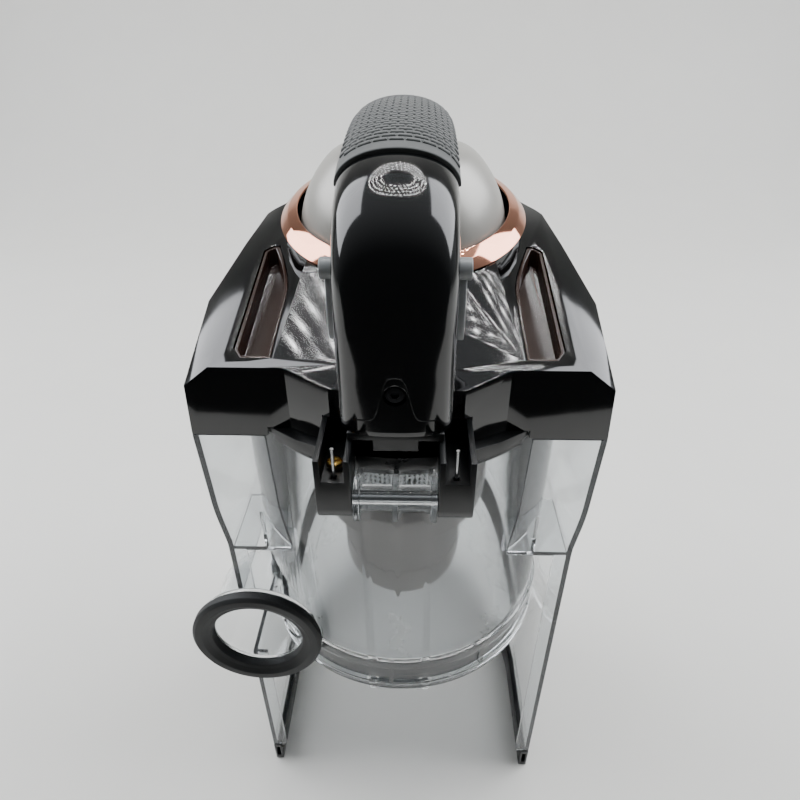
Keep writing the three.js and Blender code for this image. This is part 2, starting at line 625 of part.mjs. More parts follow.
// Three flat facets that bevel each upper edge of the lid.
function facets() {
  const at = (x, y, z) => new THREE.Vector3(x, y, z);
  const low = at(SEAM_X, 0, SEAM_Z);
  const front = at(FACET_TOP_X, 0, LID_TOP_Z);
  const corner = at(SEAM_X, FACET_BACK_Y, topAt(FACET_BACK_Y) - FACET_DROP);
  const ridge = at(FACET_TOP_X + 1, FACET_BACK_Y, topAt(FACET_BACK_Y));
  const ridgeEnd = at(FACET_TOP_X + 0.9, 2 * FACET_BACK_Y, topAt(2 * FACET_BACK_Y));
  const fade = at(SEAM_X, FACET_FADE_Y, SEAM_Z);
  return [[low, front, corner], [front, corner, ridge], [corner, ridgeEnd, fade]];
}

// The lid's outer form, or the same form set in by a wall.
function lidForm(inset) {
  const body = skinned([
    { z: LID_BOTTOM - inset * 3, points: lidPlan(LID_X - inset, inset) },
    { z: SEAM_Z, points: lidPlan(SEAM_X - inset, inset) },
    { z: DOME_TOP, points: lidPlan(SEAM_X - inset, inset) },
  ]).intersect(underTop(inset));
  const inside = new THREE.Vector3(0, 50, SEAM_Z);
  const faceted = [-1, 1].reduce((form, side) => facets().reduce((piece, [a, b, c]) => {
    const normal = b.clone().sub(a).cross(c.clone().sub(a)).normalize();
    if (normal.dot(inside) < normal.dot(a)) normal.negate();
    return piece.trimByPlane([side * normal.x, normal.y, normal.z], normal.dot(a) + inset);
  }, form), body);
  return faceted.add(hood(inset));
}

// Raised middle of the lid: a ramp from the front that meets a round seat under the collar.
function hood(inset) {
  const slope = Math.tan(THREE.MathUtils.degToRad(COLLAR_TILT));
  const seatZ = (y) => COLLAR_Z + slope * (y - COLLAR_Y) - 0.6 - inset;
  const front = COLLAR_Y - COLLAR_R + 8;
  const y0 = RECESS_FRONT_Y + inset;
  const base = LID_BOTTOM + 10;
  const ramp = across([[y0, base], [COLLAR_Y, base], [COLLAR_Y, seatZ(COLLAR_Y)], [front, seatZ(front)],
    [y0, topAt(y0) - inset]], -HOOD_X + inset, HOOD_X - inset);
  const lean = Math.hypot(1, HOOD_LEAN);
  const sided = [-1, 1].reduce((form, side) => form.trimByPlane(
    [-side / lean, 0, -HOOD_LEAN / lean], (-(HOOD_X - inset) - HOOD_LEAN * topAt(y0)) / lean), ramp);
  const top = across([[-60, base - 50], [200, base - 50], [200, seatZ(200)], [-60, seatZ(-60)]], -120, 120);
  const seat = upright(COLLAR_R - 1.6 - inset, base, DOME_TOP, 0, COLLAR_Y).intersect(top);
  return joined(sided, seat);
}

// Plan of the left or right recess beside the hood.
function recessPlan(side, grow) {
  const points = [
    [HOOD_X + 1 - grow, RECESS_FRONT_Y - grow], [RECESS_X - 3.5, RECESS_FRONT_Y - grow],
    [RECESS_X + grow, RECESS_FRONT_Y + 5], [RECESS_X + grow, RECESS_BACK_Y - 4],
    [RECESS_X - 4, RECESS_BACK_Y + grow], [COLLAR_R + 1 - grow, RECESS_BACK_Y + grow],
    [COLLAR_R - 2.6 - grow, RECESS_BACK_Y - 11], [HOOD_X + 2.4 - grow, RECESS_BACK_Y - 22],
    [HOOD_X + 1 - grow, RECESS_BACK_Y - 30],
  ];
  return side > 0 ? points : points.map(([x, y]) => [-x, y]).reverse();
}

function lidShell() {
  const openings = [-1, 1].map((side) => raised(recessPlan(side, 0), CUP_TOP, DOME_TOP));
  const slope = THREE.MathUtils.degToRad(COLLAR_TILT);
  const well = new THREE.CylinderGeometry(DOME_R - 4, DOME_R - 4, 60, ROUND);
  well.rotateX(Math.PI / 2 + slope);
  well.translate(0, COLLAR_Y, COLLAR_Z);
  const hollow = cut(lidForm(0), lidForm(LID_WALL), ...openings, solid(well), handleRoom, frontNotch());
  return joined(hollow, ...latchCheeks());
}

const handleRoom = handleWhole(2 * GAP);

// Tray that lines a recess: floor and wall in smoked plastic.
function recessTray(side) {
  const outside = raised(recessPlan(side, -GAP), CUP_TOP, DOME_TOP).intersect(underTop(0.4));
  const inside = raised(recessPlan(side, -GAP - 1.5), CUP_TOP, DOME_TOP + 10).subtract(
    underTop(RECESS_DEPTH));
  return cut(outside, inside, underTop(RECESS_DEPTH + 1.8));
}

// Plate that closes the lid from below, with the collar in front and the two hinge ears.
function lidBase() {
  const plate = raised(lidPlan(LID_X - LID_WALL - 0.8, LID_WALL + 0.8), LID_BOTTOM + 0.6, LID_BOTTOM + 3.4);
  const opening = upright(SCREEN_R, LID_BOTTOM - 5, LID_BOTTOM + 10);
  const ringOut = upright(CUP_R + 3.1, LID_BOTTOM - 2.1, LID_BOTTOM + 8);
  const ringIn = upright(CUP_R + RUN, LID_BOTTOM - 4, LID_BOTTOM + 9);
  const front = block([-COLLAR_REACH, COLLAR_REACH], [-40, -0.4], [LID_BOTTOM - 5, LID_BOTTOM + 10]);
  const collar = ringOut.subtract(ringIn).intersect(front);
  const foot = collar.intersect(upright(CUP_R + 4, LID_BOTTOM - 3, LID_BOTTOM + 0.7));
  const bridge = upright(CUP_R + 3.1, LID_BOTTOM + 0.6, LID_BOTTOM + 3.4).intersect(
    block([-COLLAR_REACH, COLLAR_REACH], [-40, LID_WALL + 2], [LID_BOTTOM - 5, LID_BOTTOM + 10]));
  return cut(joined(plate, bridge, foot, ...ears()), opening);
}

// Room in the lid shell's front wall for the base's collar and for the two ears.
function frontNotch() {
  const x = EAR_OUT_X + GAP;
  return joined(
    block([-COLLAR_REACH - GAP, COLLAR_REACH + GAP], [-40, LID_WALL + 3], [CUP_BOTTOM, LID_BOTTOM + 3.7]),
    block([-x, x], [-40, LID_WALL + 3], [CUP_BOTTOM, EAR_BLOCK_TOP + GAP]),
    block([-CAP_X - GAP, CAP_X + GAP], [-40, FOOT_BACK_Y + GAP], [CUP_BOTTOM, HANDLE_FOOT_Z + 1]),
  );
}

// Ears that carry the hinge pin: a solid foot with a two-walled channel above it.
function ears() {
  return [-1, 1].map((side) => {
    const span = (a, b) => sideways(side, a, b);
    const y = HINGE_Y;
    const profile = [[y - EAR_R, HINGE_Z], [y - EAR_R, EAR_BLOCK_TOP], [2, EAR_BLOCK_TOP],
      [2, LID_BOTTOM + 0.6], [CUP_FRONT_Y - 2, LID_BOTTOM + 0.6], [y + EAR_R, HINGE_Z + 4],
      [y + EAR_R, HINGE_Z]];
    const body = joined(across(profile, ...span(EAR_IN_X, EAR_OUT_X)),
      rodX(EAR_R, ...span(EAR_IN_X, EAR_OUT_X), y, HINGE_Z, 24));
    const channel = block(span(EAR_IN_X + 2, EAR_OUT_X - 2), [y - 20, 20],
      [EAR_BLOCK_TOP - EAR_CHANNEL, EAR_BLOCK_TOP + 4]);
    const bore = rodX(PIN_R + RUN, ...span(EAR_IN_X - 1, EAR_OUT_X - 1.6), y, HINGE_Z);
    const coilRoom = rodX(COIL_R + RUN, ...span(COIL_X[0] - RUN, COIL_X[1] + RUN), y, HINGE_Z);
    const legRoom = block(span(COIL_LEG_X - RUN, COIL_LEG_X + WIRE + RUN),
      [y - COIL_R - RUN, y - COIL_R + WIRE + RUN], [HINGE_Z, EAR_BLOCK_TOP + 5]);
    return cut(body, channel, bore, coilRoom, legRoom);
  });
}

function lidGasket() {
  const r = CUP_R - CUP_WALL - 0.6;
  const ring = turned([[r - 5, 0], [r, 0], [r, -1.4], [r - 2.5, -1.9], [r - 5, -1.4], [r - 5, 0]]);
  ring.translate(0, CUP_AXIS_Y, LID_BOTTOM + 0.3);
  return solid(ring);
}

const foamFilter = () => upright(SCREEN_R + 14, LID_BOTTOM + 3.7, LID_BOTTOM + 15);
const feltFilter = () => upright(SCREEN_R + 14, LID_BOTTOM + 15.3, LID_BOTTOM + 21).intersect(underTop(9));

// Cheeks on the lid's back wall that hold the latch lever's pin.
function latchCheeks() {
  return [-1, 1].map((side) => block(
    sideways(side, LID_LATCH_HALF_W + RUN, LID_LATCH_HALF_W + RUN + CHEEK_THICK),
    [CUP_AXIS_Y + SEAM_X - 1, LID_LATCH_PIVOT_Y + 2.6],
    [LID_LATCH_PIVOT_Z - 4, LID_LATCH_PIVOT_Z + 4],
  ).subtract(smallPinRoom(LID_LATCH_PIVOT_Y, LID_LATCH_PIVOT_Z)));
}

// Lever that keeps the lid shut: thumb pad above, nose behind the shell's catch bar below.
function lidLatch() {
  const [y, z] = [LID_LATCH_Y + RUN, LID_LATCH_PIVOT_Z];
  const lever = across([[y, z + 11], [y + 2, z + 15], [y + 5, z + 15], [y + 5, z + 8], [y + 2.8, z + 4],
    [y + 2.8, SHELL_TOP - 14], [y, SHELL_TOP - 12]], -LID_LATCH_HALF_W, LID_LATCH_HALF_W);
  const boss = rodX(2.2, -LID_LATCH_HALF_W, LID_LATCH_HALF_W, LID_LATCH_PIVOT_Y, z);
  return joined(lever, boss).subtract(smallPinRoom(LID_LATCH_PIVOT_Y, z));
}

// A lid spring: close-wound coil on the pin, one leg standing up in the ear's channel.
function lidSpring(side) {
  const coil = rodX(COIL_R, ...sideways(side, ...COIL_X), HINGE_Y, HINGE_Z);
  const leg = block(sideways(side, COIL_LEG_X, COIL_LEG_X + WIRE),
    [HINGE_Y - COIL_R, HINGE_Y - COIL_R + WIRE], [HINGE_Z, EAR_BLOCK_TOP + 3]);
  return joined(coil, leg).subtract(rodX(PIN_R + RUN, -40, 40, HINGE_Y, HINGE_Z));
}

// Cap that closes the handle's foot, with a tongue between the ears.
function footCap() {
  const front = HANDLE_FOOT_Y - 10;
  const plate = block([-CAP_X, CAP_X], [front, FOOT_BACK_Y], [EAR_BLOCK_TOP + RUN, HANDLE_FOOT_Z - GAP]);
  return plate.add(block([-8, 8], [front, front + 4], [EAR_BLOCK_TOP - 4, EAR_BLOCK_TOP + 1]));
}

// Screw head in the left ear's channel, against the spring's leg.
function earScrew() {
  const floor = EAR_BLOCK_TOP - EAR_CHANNEL;
  return upright(2.8, floor + GAP, floor + 3, -(EAR_IN_X + EAR_WIDTH / 2), HINGE_Y + 2, 14);
}

// ---------------------------------------------------------------- collar and dome

function copperCollar() {
  const [out, inner, rise, t] = [COLLAR_R, COLLAR_INNER_R, COLLAR_RISE, COLLAR_THICK];
  const ring = turned([[out, 0], [(out + inner) / 2 + 0.6, rise * 0.66], [inner, rise], [inner, rise - t],
    [(out + inner) / 2, rise * 0.66 - t], [out - 0.6, -0.2], [out, 0]]);
  ring.rotateX(THREE.MathUtils.degToRad(COLLAR_TILT));
  ring.translate(0, COLLAR_Y, COLLAR_Z);
  return solid(ring).subtract(handleRoom);
}

function dome() {
  const ball = (r) => {
    const sphere = new THREE.SphereGeometry(r, ROUND, 12);
    sphere.rotateX(Math.PI / 2);
    sphere.translate(0, COLLAR_Y, DOME_Z);
    return solid(sphere);
  };
  const floor = DOME_Z - 60;
  const cap = across([[0, floor], [200, floor], [200, DOME_TOP - 6], [COLLAR_Y + 8, DOME_TOP],
    [COLLAR_Y - 8, DOME_TOP], [0, DOME_TOP - 6]], -60, 60);
  const inside = ball(DOME_R - DOME_WALL).intersect(cap.translate([0, 0, -DOME_WALL]));
  const slope = Math.tan(THREE.MathUtils.degToRad(COLLAR_TILT));
  const seatZ = (y) => COLLAR_Z + slope * (y - COLLAR_Y) + GAP;
  const sky = DOME_TOP + 60;
  const above = across([[-60, seatZ(-60)], [200, seatZ(200)], [200, sky], [-60, sky]], -120, 120);
  return ball(DOME_R).intersect(cap).subtract(inside).intersect(above).subtract(handleRoom);
}

// ---------------------------------------------------------------- handle pieces

const SPLIT = GAP / 2;

// Room for a release tab and its knob in the handle's side.
function tabRoom() {
  return joined(...[-1, 1].map((side) => tabForm(side, GAP, TAB_TRAVEL + 0.4)));
}

// A release tab: a tall lens-shaped bar with a round knob at its top.
function tabForm(side, grow, inward) {
  const y = TAB_Y;
  const [h, d] = [TAB_HEIGHT / 2 + grow, TAB_DEPTH / 2 + grow];
  const lens = [];
  for (let i = 0; i < 16; i += 1) {
    const angle = (2 * Math.PI * i) / 16;
    lens.push([y + d * Math.sin(angle), TAB_Z - 4 + h * Math.cos(angle)]);
  }
  const x0 = HANDLE_HALF_W - TAB_INSIDE - inward;
  const x1 = HANDLE_HALF_W + TAB_PROUD;
  const knobZ = TAB_Z + TAB_HEIGHT / 2 - 5;
  const knob = rodX(TAB_KNOB_R + grow, ...sideways(side, x0, x1 + 1.4), y - 1, knobZ);
  return joined(across(lens, ...sideways(side, x0, x1)), knob);
}

function handleShell(side) {
  const flip = side === 'outer' ? 1 : -1;
  const [w, t] = [HANDLE_HALF_W, HANDLE_THICK / 2];
  const outer = handleSection(w, t, side);
  const inner = handleSection(w - HANDLE_WALL, t - HANDLE_WALL, side).reverse();
  const points = [...outer, ...inner].map(([x, d]) => [x, d + flip * SPLIT]);
  return alongHandle(points, 0, 1, 18);
}

function grip(grow) {
  const outer = handleSection(HANDLE_HALF_W + 0.7, HANDLE_THICK / 2 + 0.7, 'outer');
  const depth = GRIP_THICK + grow;
  const inner = handleSection(HANDLE_HALF_W - depth, HANDLE_THICK / 2 - depth, 'outer').reverse();
  const swell = grow > 0 ? 1.05 : 1; // as a cutter it reaches past the shell's surface
  const points = [...outer.map(([x, d]) => [x * swell, (d + 1.2 - grow) * swell]),
    ...inner.map(([x, d]) => [x, d + 1.2 - grow])];
  return alongHandle(points, GRIP_FROM - grow * 0.004, GRIP_TO + grow * 0.004, 8);
}

// The grip sits in a rebate of the same form in the outer shell.
function handleOuter() {
  const seat = HANDLE_FOOT_Y - 10.4;
  const screwHole = joined(rodY(SCREW_HEAD_R + 0.75, seat - 16, seat, 0, SCREW_Z, 16),
    rodY(SCREW_SHANK_R + GAP, seat - 0.1, seat + 19, 0, SCREW_Z, 12));
  return cut(handleShell('outer'), grip(GAP), tabRoom(), screwHole);
}

const handleInner = () => handleShell('inner').subtract(tabRoom());

function handleScrew() {
  const under = HANDLE_FOOT_Y - 10.7;
  const head = rodY(SCREW_HEAD_R, under - 1, under, 0, SCREW_Z, 16);
  return joined(head, rodY(SCREW_SHANK_R, under - 0.2, under + 18.2, 0, SCREW_Z, 12));
}

// ---------------------------------------------------------------- the object

const pin = (r, reach, y, z) => rodX(r, -reach, reach, y, z, 12);

piece('cup_cylinder', 'clear', cupCylinder());
piece('outer_shell', 'clear', outerShell());
piece('inlet_duct', 'clear', inletDuct());
piece('inlet_gasket', 'rubber', inletGasket());
piece('base_trim', 'satinBlack', baseTrim());
piece('separator_ring', 'satinBlack', separatorRing());
piece('separator_screen', 'steel', separatorScreen());
piece('separator_skirt', 'satinBlack', separatorSkirt());
piece('fine_dust_tube', 'frosted', dustTube());
piece('vortex_tube', 'greyPlastic', vortexTube());
piece('dust_cone', 'frosted', dustCone());
piece('bottom_door', 'clear', bottomDoor());
piece('door_gasket', 'rubber', doorGasket());
piece('door_hinge_pin', 'steel', pin(PIN_R, DOOR_BARREL_X + LUG_THICK, DOOR_HINGE_Y, DOOR_HINGE_Z));
piece('door_latch', 'satinBlack', doorLatch());
piece('door_latch_pin', 'steel', pin(SMALL_PIN_R, LATCH_HALF_W + 2.6, LATCH_PIVOT_Y, LATCH_PIVOT_Z));
piece('door_push_rod', 'greyPlastic', pushRod());
piece('lid_shell', 'glossBlack', lidShell());
piece('lid_base', 'satinBlack', lidBase());
piece('lid_gasket', 'rubber', lidGasket());
piece('recess_tray_left', 'smoked', recessTray(-1));
piece('recess_tray_right', 'smoked', recessTray(1));
piece('foam_filter', 'foam', foamFilter());
piece('felt_filter', 'felt', feltFilter());
piece('copper_collar', 'copper', copperCollar());
piece('dome', 'pearl', dome());
piece('handle_outer_shell', 'glossBlack', handleOuter());
piece('handle_inner_shell', 'glossBlack', handleInner());
piece('handle_grip', 'rubber', grip(0));
piece('handle_screw', 'steel', handleScrew());
piece('release_tab_left', 'greyPlastic', tabForm(-1, 0, 0));
piece('release_tab_right', 'greyPlastic', tabForm(1, 0, 0));
piece('handle_foot_cap', 'satinBlack', footCap());
piece('lid_latch', 'satinBlack', lidLatch());
piece('lid_latch_pin', 'steel',
  pin(SMALL_PIN_R, LID_LATCH_HALF_W + 2.6, LID_LATCH_PIVOT_Y, LID_LATCH_PIVOT_Z));
piece('lid_spring_left', 'steel', lidSpring(-1));
piece('lid_spring_right', 'steel', lidSpring(1));
piece('ear_screw', 'brass', earScrew());
piece('lid_hinge_pin', 'steel', pin(PIN_R, EAR_OUT_X - 2, HINGE_Y, HINGE_Z));

// The group's origin: under the middle of the whole object, on the surface that it stands on.
const bounds = new THREE.Box3().setFromObject(parts, true);
parts.position.set(-(bounds.min.x + bounds.max.x) / 2, -(bounds.min.y + bounds.max.y) / 2, -bounds.min.z);

export default parts;
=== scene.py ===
# Dust cup of a canister vacuum cleaner: clear cup and skirt, gloss black lid, arched handle.
# Lengths in this script are millimetres in the object's own design frame: X across from the lid's
# middle, Y back from the skirt's front edge, Z up from the floor. at() turns them into metres.

import math

import bmesh
import bpy
from mathutils import Matrix, Vector


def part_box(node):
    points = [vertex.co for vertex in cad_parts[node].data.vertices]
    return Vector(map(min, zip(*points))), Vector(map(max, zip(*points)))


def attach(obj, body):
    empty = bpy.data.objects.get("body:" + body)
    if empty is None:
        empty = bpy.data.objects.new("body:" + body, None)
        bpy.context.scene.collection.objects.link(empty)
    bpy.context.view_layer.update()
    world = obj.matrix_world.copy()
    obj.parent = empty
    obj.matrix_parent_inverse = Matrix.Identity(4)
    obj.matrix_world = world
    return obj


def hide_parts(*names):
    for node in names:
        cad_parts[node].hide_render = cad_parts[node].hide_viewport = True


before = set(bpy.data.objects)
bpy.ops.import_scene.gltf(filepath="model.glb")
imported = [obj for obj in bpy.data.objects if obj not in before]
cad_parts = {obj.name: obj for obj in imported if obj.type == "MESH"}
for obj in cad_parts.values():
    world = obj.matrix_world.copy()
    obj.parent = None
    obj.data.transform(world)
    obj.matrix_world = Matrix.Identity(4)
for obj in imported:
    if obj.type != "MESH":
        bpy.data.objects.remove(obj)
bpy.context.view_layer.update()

# ---------------------------------------------------------------- camera and room
# A pale floor that sweeps up into a wall, lit by two large soft boxes and a ring lamp overhead.
# The camera looks down on the hinge side from just above the handle.

lid_low, lid_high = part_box("lid_shell")
MIDDLE_X = (lid_low[0] + lid_high[0]) / 2
FRONT_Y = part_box("outer_shell")[0][1]
MM = 0.001


def at(x, y, z):
    """A point of the design frame, as metres in the row frame."""
    return Vector((MIDDLE_X + x * MM, FRONT_Y + y * MM, z * MM))


def srgb(code):
    """The linear colour, with alpha, of an sRGB hex code."""
    parts = [int(code[i:i + 2], 16) / 255 for i in (1, 3, 5)]
    return tuple(c / 12.92 if c <= 0.04045 else ((c + 0.055) / 1.055) ** 2.4 for c in parts) + (1.0,)


def add(tree, kind, sockets=None, **settings):
    """Adds a node. A socket's value may be a number, a colour or another node's output to link."""
    node = tree.nodes.new(kind)
    for name, value in settings.items():
        setattr(node, name, value)
    for name, value in (sockets or {}).items():
        if isinstance(value, bpy.types.NodeSocket):
            tree.links.new(value, node.inputs[name])
        else:
            node.inputs[name].default_value = value
    return node


def object_of(name, points, faces):
    """A new object of metre points and faces, at the origin."""
    mesh = bpy.data.meshes.new(name)
    mesh.from_pydata([tuple(p) for p in points], [], faces)
    mesh.validate()
    made = bpy.data.objects.new(name, mesh)
    bpy.context.scene.collection.objects.link(made)
    return made


def plain(name, colour, roughness):
    """Painted studio board: a matt colour with a faint mottle, 60 mm across."""
    material = bpy.data.materials.new(name)
    material.use_nodes = True
    tree = material.node_tree
    surface = tree.nodes["Principled BSDF"]
    place = add(tree, "ShaderNodeTexCoord")
    mottle = add(tree, "ShaderNodeTexNoise", {"Vector": place.outputs["Object"], "Scale": 16.0})
    low = srgb(colour)
    high = tuple(min(1.0, c * 1.05) for c in low[:3]) + (1.0,)
    mix = add(tree, "ShaderNodeMixRGB", {"Fac": mottle.outputs["Fac"], "Color1": low, "Color2": high})
    tree.links.new(mix.outputs["Color"], surface.inputs["Base Color"])
    surface.inputs["Roughness"].default_value = roughness
    return material


FLOOR_FRONT = -330          # the board's front edge, out of the camera's sight
SWEEP_Y = 900               # the floor starts to rise this far behind the object's front
SWEEP_R = 500
sweep = [(FLOOR_FRONT, 0)]
for step in range(13):
    turn = math.pi / 2 * step / 12
    sweep.append((SWEEP_Y + SWEEP_R * math.sin(turn), SWEEP_R * (1 - math.cos(turn))))
sweep.append((SWEEP_Y + SWEEP_R, 3400))
floor_points = [at(x, y, z) for y, z in sweep for x in (-2800, 2800)]
floor_faces = [(2 * i, 2 * i + 1, 2 * i + 3, 2 * i + 2) for i in range(len(sweep) - 1)]
floor = object_of("studio_floor", floor_points, floor_faces)
floor.data.shade_smooth()
floor.data.materials.append(plain("studio_board", "#d9d8d3", 0.55))

camera = bpy.data.objects.new("camera", bpy.data.cameras.new("camera"))
bpy.context.scene.collection.objects.link(camera)
camera.data.sensor_width = 36
camera.data.lens = 27
camera.data.clip_start = 0.01
PITCH, YAW, ROLL = math.radians(33.33), math.radians(-1.85), math.radians(-0.30)
ahead = Vector((math.sin(YAW) * math.cos(PITCH), math.cos(YAW) * math.cos(PITCH), -math.sin(PITCH)))
level = Vector((math.cos(YAW), -math.sin(YAW), 0))
above = level.cross(ahead)
right = level * math.cos(ROLL) + above * math.sin(ROLL)
above = above * math.cos(ROLL) - level * math.sin(ROLL)
turned_camera = Matrix((right, above, -ahead)).transposed().to_4x4()
camera.matrix_world = Matrix.Translation(at(6.8, -185.0, 384.4)) @ turned_camera
bpy.context.scene.camera = camera


def soft_box(name, place, towards, size, power, colour="#ffffff"):
    """A rectangular area light that faces a point."""
    light = bpy.data.lights.new(name, "AREA")
    light.shape = "RECTANGLE"
    light.size, light.size_y = size
    light.energy = power
    light.color = srgb(colour)[:3]
    lamp = bpy.data.objects.new(name, light)
    bpy.context.scene.collection.objects.link(lamp)
    lamp.location = place
    lamp.rotation_euler = (towards - place).to_track_quat("-Z", "Y").to_euler()


centre = at(0, 60, 180)
for side, word, power in ((-1, "left", 30), (1, "right", 32)):
    soft_box(word + "_wall", at(side * 1150, 350, 1150), centre, (1.1, 1.3), power, "#f8faff")

# A ring lamp with four circles of diodes hangs overhead and mirrors in the gloss.
LAMP = at(0, 330, 1250)
diode = bpy.data.materials.new("diode")
diode.use_nodes = True
glowing = diode.node_tree.nodes["Principled BSDF"]
glowing.inputs["Emission Color"].default_value = srgb("#ffffff")
glowing.inputs["Emission Strength"].default_value = 260.0
DOT_HALF, DOT_STEP = 4, 8
dots, dot_faces = [], []
for ring_r in (210, 270, 330, 390):
    for i in range(ring_r // DOT_STEP):
        a = 2 * math.pi * i * DOT_STEP / ring_r
        middle = LAMP + Vector((ring_r * math.cos(a), ring_r * math.sin(a), 0)) * MM
        first = len(dots)
        for dx, dy in ((-1, -1), (-1, 1), (1, 1), (1, -1)):
            dots.append(middle + Vector((dx, dy, 0)) * DOT_HALF * MM)
        dot_faces.append((first, first + 1, first + 2, first + 3))
lamp_dots = object_of("ring_lamp", dots, dot_faces)
lamp_dots.data.materials.append(diode)

# The room is bright behind and above the object and dim on the camera's side, like a shop wall.
world = bpy.data.worlds.new("room")
bpy.context.scene.world = world
world.use_nodes = True
room = world.node_tree
direction = add(room, "ShaderNodeTexCoord")
parts = add(room, "ShaderNodeSeparateXYZ", {"Vector": direction.outputs["Generated"]})
lifted = add(room, "ShaderNodeMath", {0: parts.outputs["Z"], 1: 0.75}, operation="MULTIPLY")
facing = add(room, "ShaderNodeMath", {0: parts.outputs["Y"], 1: lifted.outputs["Value"]}, operation="ADD")
glow = add(room, "ShaderNodeMapRange", {"Value": facing.outputs["Value"], "From Min": -0.45, "From Max": 0.75,
                                        "To Min": 0.05, "To Max": 0.75}, interpolation_type="SMOOTHSTEP")
room.nodes["Background"].inputs["Color"].default_value = srgb("#dfe3e6")
room.links.new(glow.outputs["Result"], room.nodes["Background"].inputs["Strength"])

# Light passes through many clear walls one behind the other, so the paths are let through them all.
bpy.context.scene.cycles.max_bounces = 28
bpy.context.scene.cycles.transmission_bounces = 28
bpy.context.scene.cycles.transparent_max_bounces = 28

# ---------------------------------------------------------------- base rails
# Black ABS rails round the skirt's foot, which slide on the motor unit. Each is a shallow channel,
# moulded satin, and pushed on to the clear skirt's edge.


def skinned(name, rings, joined=False):
    """Skins closed rings of metre points, one to the next, and closes or joins the ends."""
    count = len(rings[0])
    points = [p for ring in rings for p in ring]
    faces = []
    for i in range(len(rings) if joined else len(rings) - 1):
        here, there = i * count, (i + 1) % len(rings) * count
        for k in range(count):
            nxt = (k + 1) % count
            faces.append((here + k, here + nxt, there + nxt, there + k))
    if not joined:
        faces.append(tuple(reversed(range(count))))
        faces.append(tuple(range((len(rings) - 1) * count, len(rings) * count)))
    return object_of(name, points, faces)


def modified(made, kind, **settings):
    """Puts a modifier on an object and keeps only its result."""
    modifier = made.modifiers.new(kind.title(), kind)
    for name, value in settings.items():
        setattr(modifier, name, value)
    settled = made.evaluated_get(bpy.context.evaluated_depsgraph_get())
    mesh = bpy.data.meshes.new_from_object(settled)
    made.modifiers.clear()
    made.data = mesh
    return made


def without(made, *tools, operation="DIFFERENCE"):
    """Cuts tools from a piece, or joins them to it, and throws the tools away."""
    for tool in tools:
        tidy(tool)
        tidy(made)
        modified(made, "BOOLEAN", object=tool, operation=operation, solver="EXACT")
        bpy.data.objects.remove(tool)
    return made


def tidy(made):
    """Merges doubled points and turns every face outwards."""
    work = bmesh.new()
    work.from_mesh(made.data)
    bmesh.ops.remove_doubles(work, verts=work.verts, dist=1e-6)
    bmesh.ops.recalc_face_normals(work, faces=work.faces)
    work.to_mesh(made.data)
    work.free()
    return made


def fitted(made, name, material, body, slot, *nodes, sharp=32):
    """Names a finished piece, gives it its material and smooth shading, and fits it to its body."""
    tidy(made)
    made.name = name
    made.data.name = name
    made.data.materials.clear()
    made.data.materials.append(material)
    made.data.shade_smooth()
    made.data.set_sharp_from_angle(angle=math.radians(sharp))
    if nodes:
        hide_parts(*nodes)
    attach(made, body)
    return made


def block(name, xs, ys, zs):
    """A block between two corners of the design frame."""
    points = [at(x, y, z) for z in zs for x, y in
              ((xs[0], ys[0]), (xs[1], ys[0]), (xs[1], ys[1]), (xs[0], ys[1]))]
    return skinned(name, [points[:4], points[4:]])


def softened(made, width, segments=2, angle=30):
    """Rounds the sharp edges of a piece by a width in millimetres."""
    tidy(made)
    return modified(made, "BEVEL", width=width * MM, segments=segments, limit_method="ANGLE",
                    angle_limit=math.radians(angle), use_clamp_overlap=True, miter_outer="MITER_ARC")


def moulded(name, colour, roughness, grain_mm, depth_mm, drift=0.12, **sockets):
    """A moulded surface: grain of a size and depth, and a slow drift in gloss from handling."""
    material = bpy.data.materials.new(name)
    material.use_nodes = True
    tree = material.node_tree
    surface = tree.nodes["Principled BSDF"]
    place = add(tree, "ShaderNodeTexCoord")
    grain = add(tree, "ShaderNodeTexNoise",
                {"Vector": place.outputs["Object"], "Scale": 1000 / grain_mm, "Detail": 3.0})
    smear = add(tree, "ShaderNodeTexNoise",
                {"Vector": place.outputs["Object"], "Scale": 22.0, "Detail": 5.0, "Roughness": 0.6})
    gloss = add(tree, "ShaderNodeMapRange", {
        "Value": smear.outputs["Fac"], "From Min": 0.3, "From Max": 0.75,
        "To Min": roughness * (1 - drift), "To Max": roughness * (1 + 3 * drift)})
    tree.links.new(gloss.outputs["Result"], surface.inputs["Roughness"])
    bump = add(tree, "ShaderNodeBump", {
        "Height": grain.outputs["Fac"], "Distance": depth_mm * MM, "Strength": 0.6})
    tree.links.new(bump.outputs["Normal"], surface.inputs["Normal"])
    surface.inputs["Base Color"].default_value = srgb(colour)
    for socket, value in sockets.items():
        surface.inputs[socket.replace("_", " ")].default_value = value
    return material


# Satin ABS from a spark-eroded tool: a fine grain that scatters a broad soft highlight.
satin_abs = moulded("satin_black_abs", "#0c0e0f", 0.27, 0.5, 0.012, IOR=1.5)

AXIS_Y = 58.5               # the cup's axis
SKIRT_X = 75.8
RAIL_WIDTH = 4.6
RAIL_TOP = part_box("base_trim")[1][2] / MM


def around(half_width, front, step=48):
    """The skirt's plan: from the right front corner, round the back, to the left front corner."""
    path = [(half_width, front)]
    for i in range(step + 1):
        a = math.pi * i / step
        path.append((half_width * math.cos(a), AXIS_Y + half_width * math.sin(a)))
    return path + [(-half_width, front)]


def band(outer_x, inner_x, front, lip=0.0, lip_thick=1.9):
    """A closed U-shaped outline between two widths, with returns across its front edges."""
    outer = around(outer_x, front)
    inner = around(inner_x, front)
    if lip:
        turn_in = outer_x - lip
        back = front + lip_thick
        inner = ([(turn_in, front), (turn_in, back), (inner_x, back)] + inner[1:-1]
                 + [(-inner_x, back), (-turn_in, back), (-turn_in, front)])
    return outer + inner[::-1]


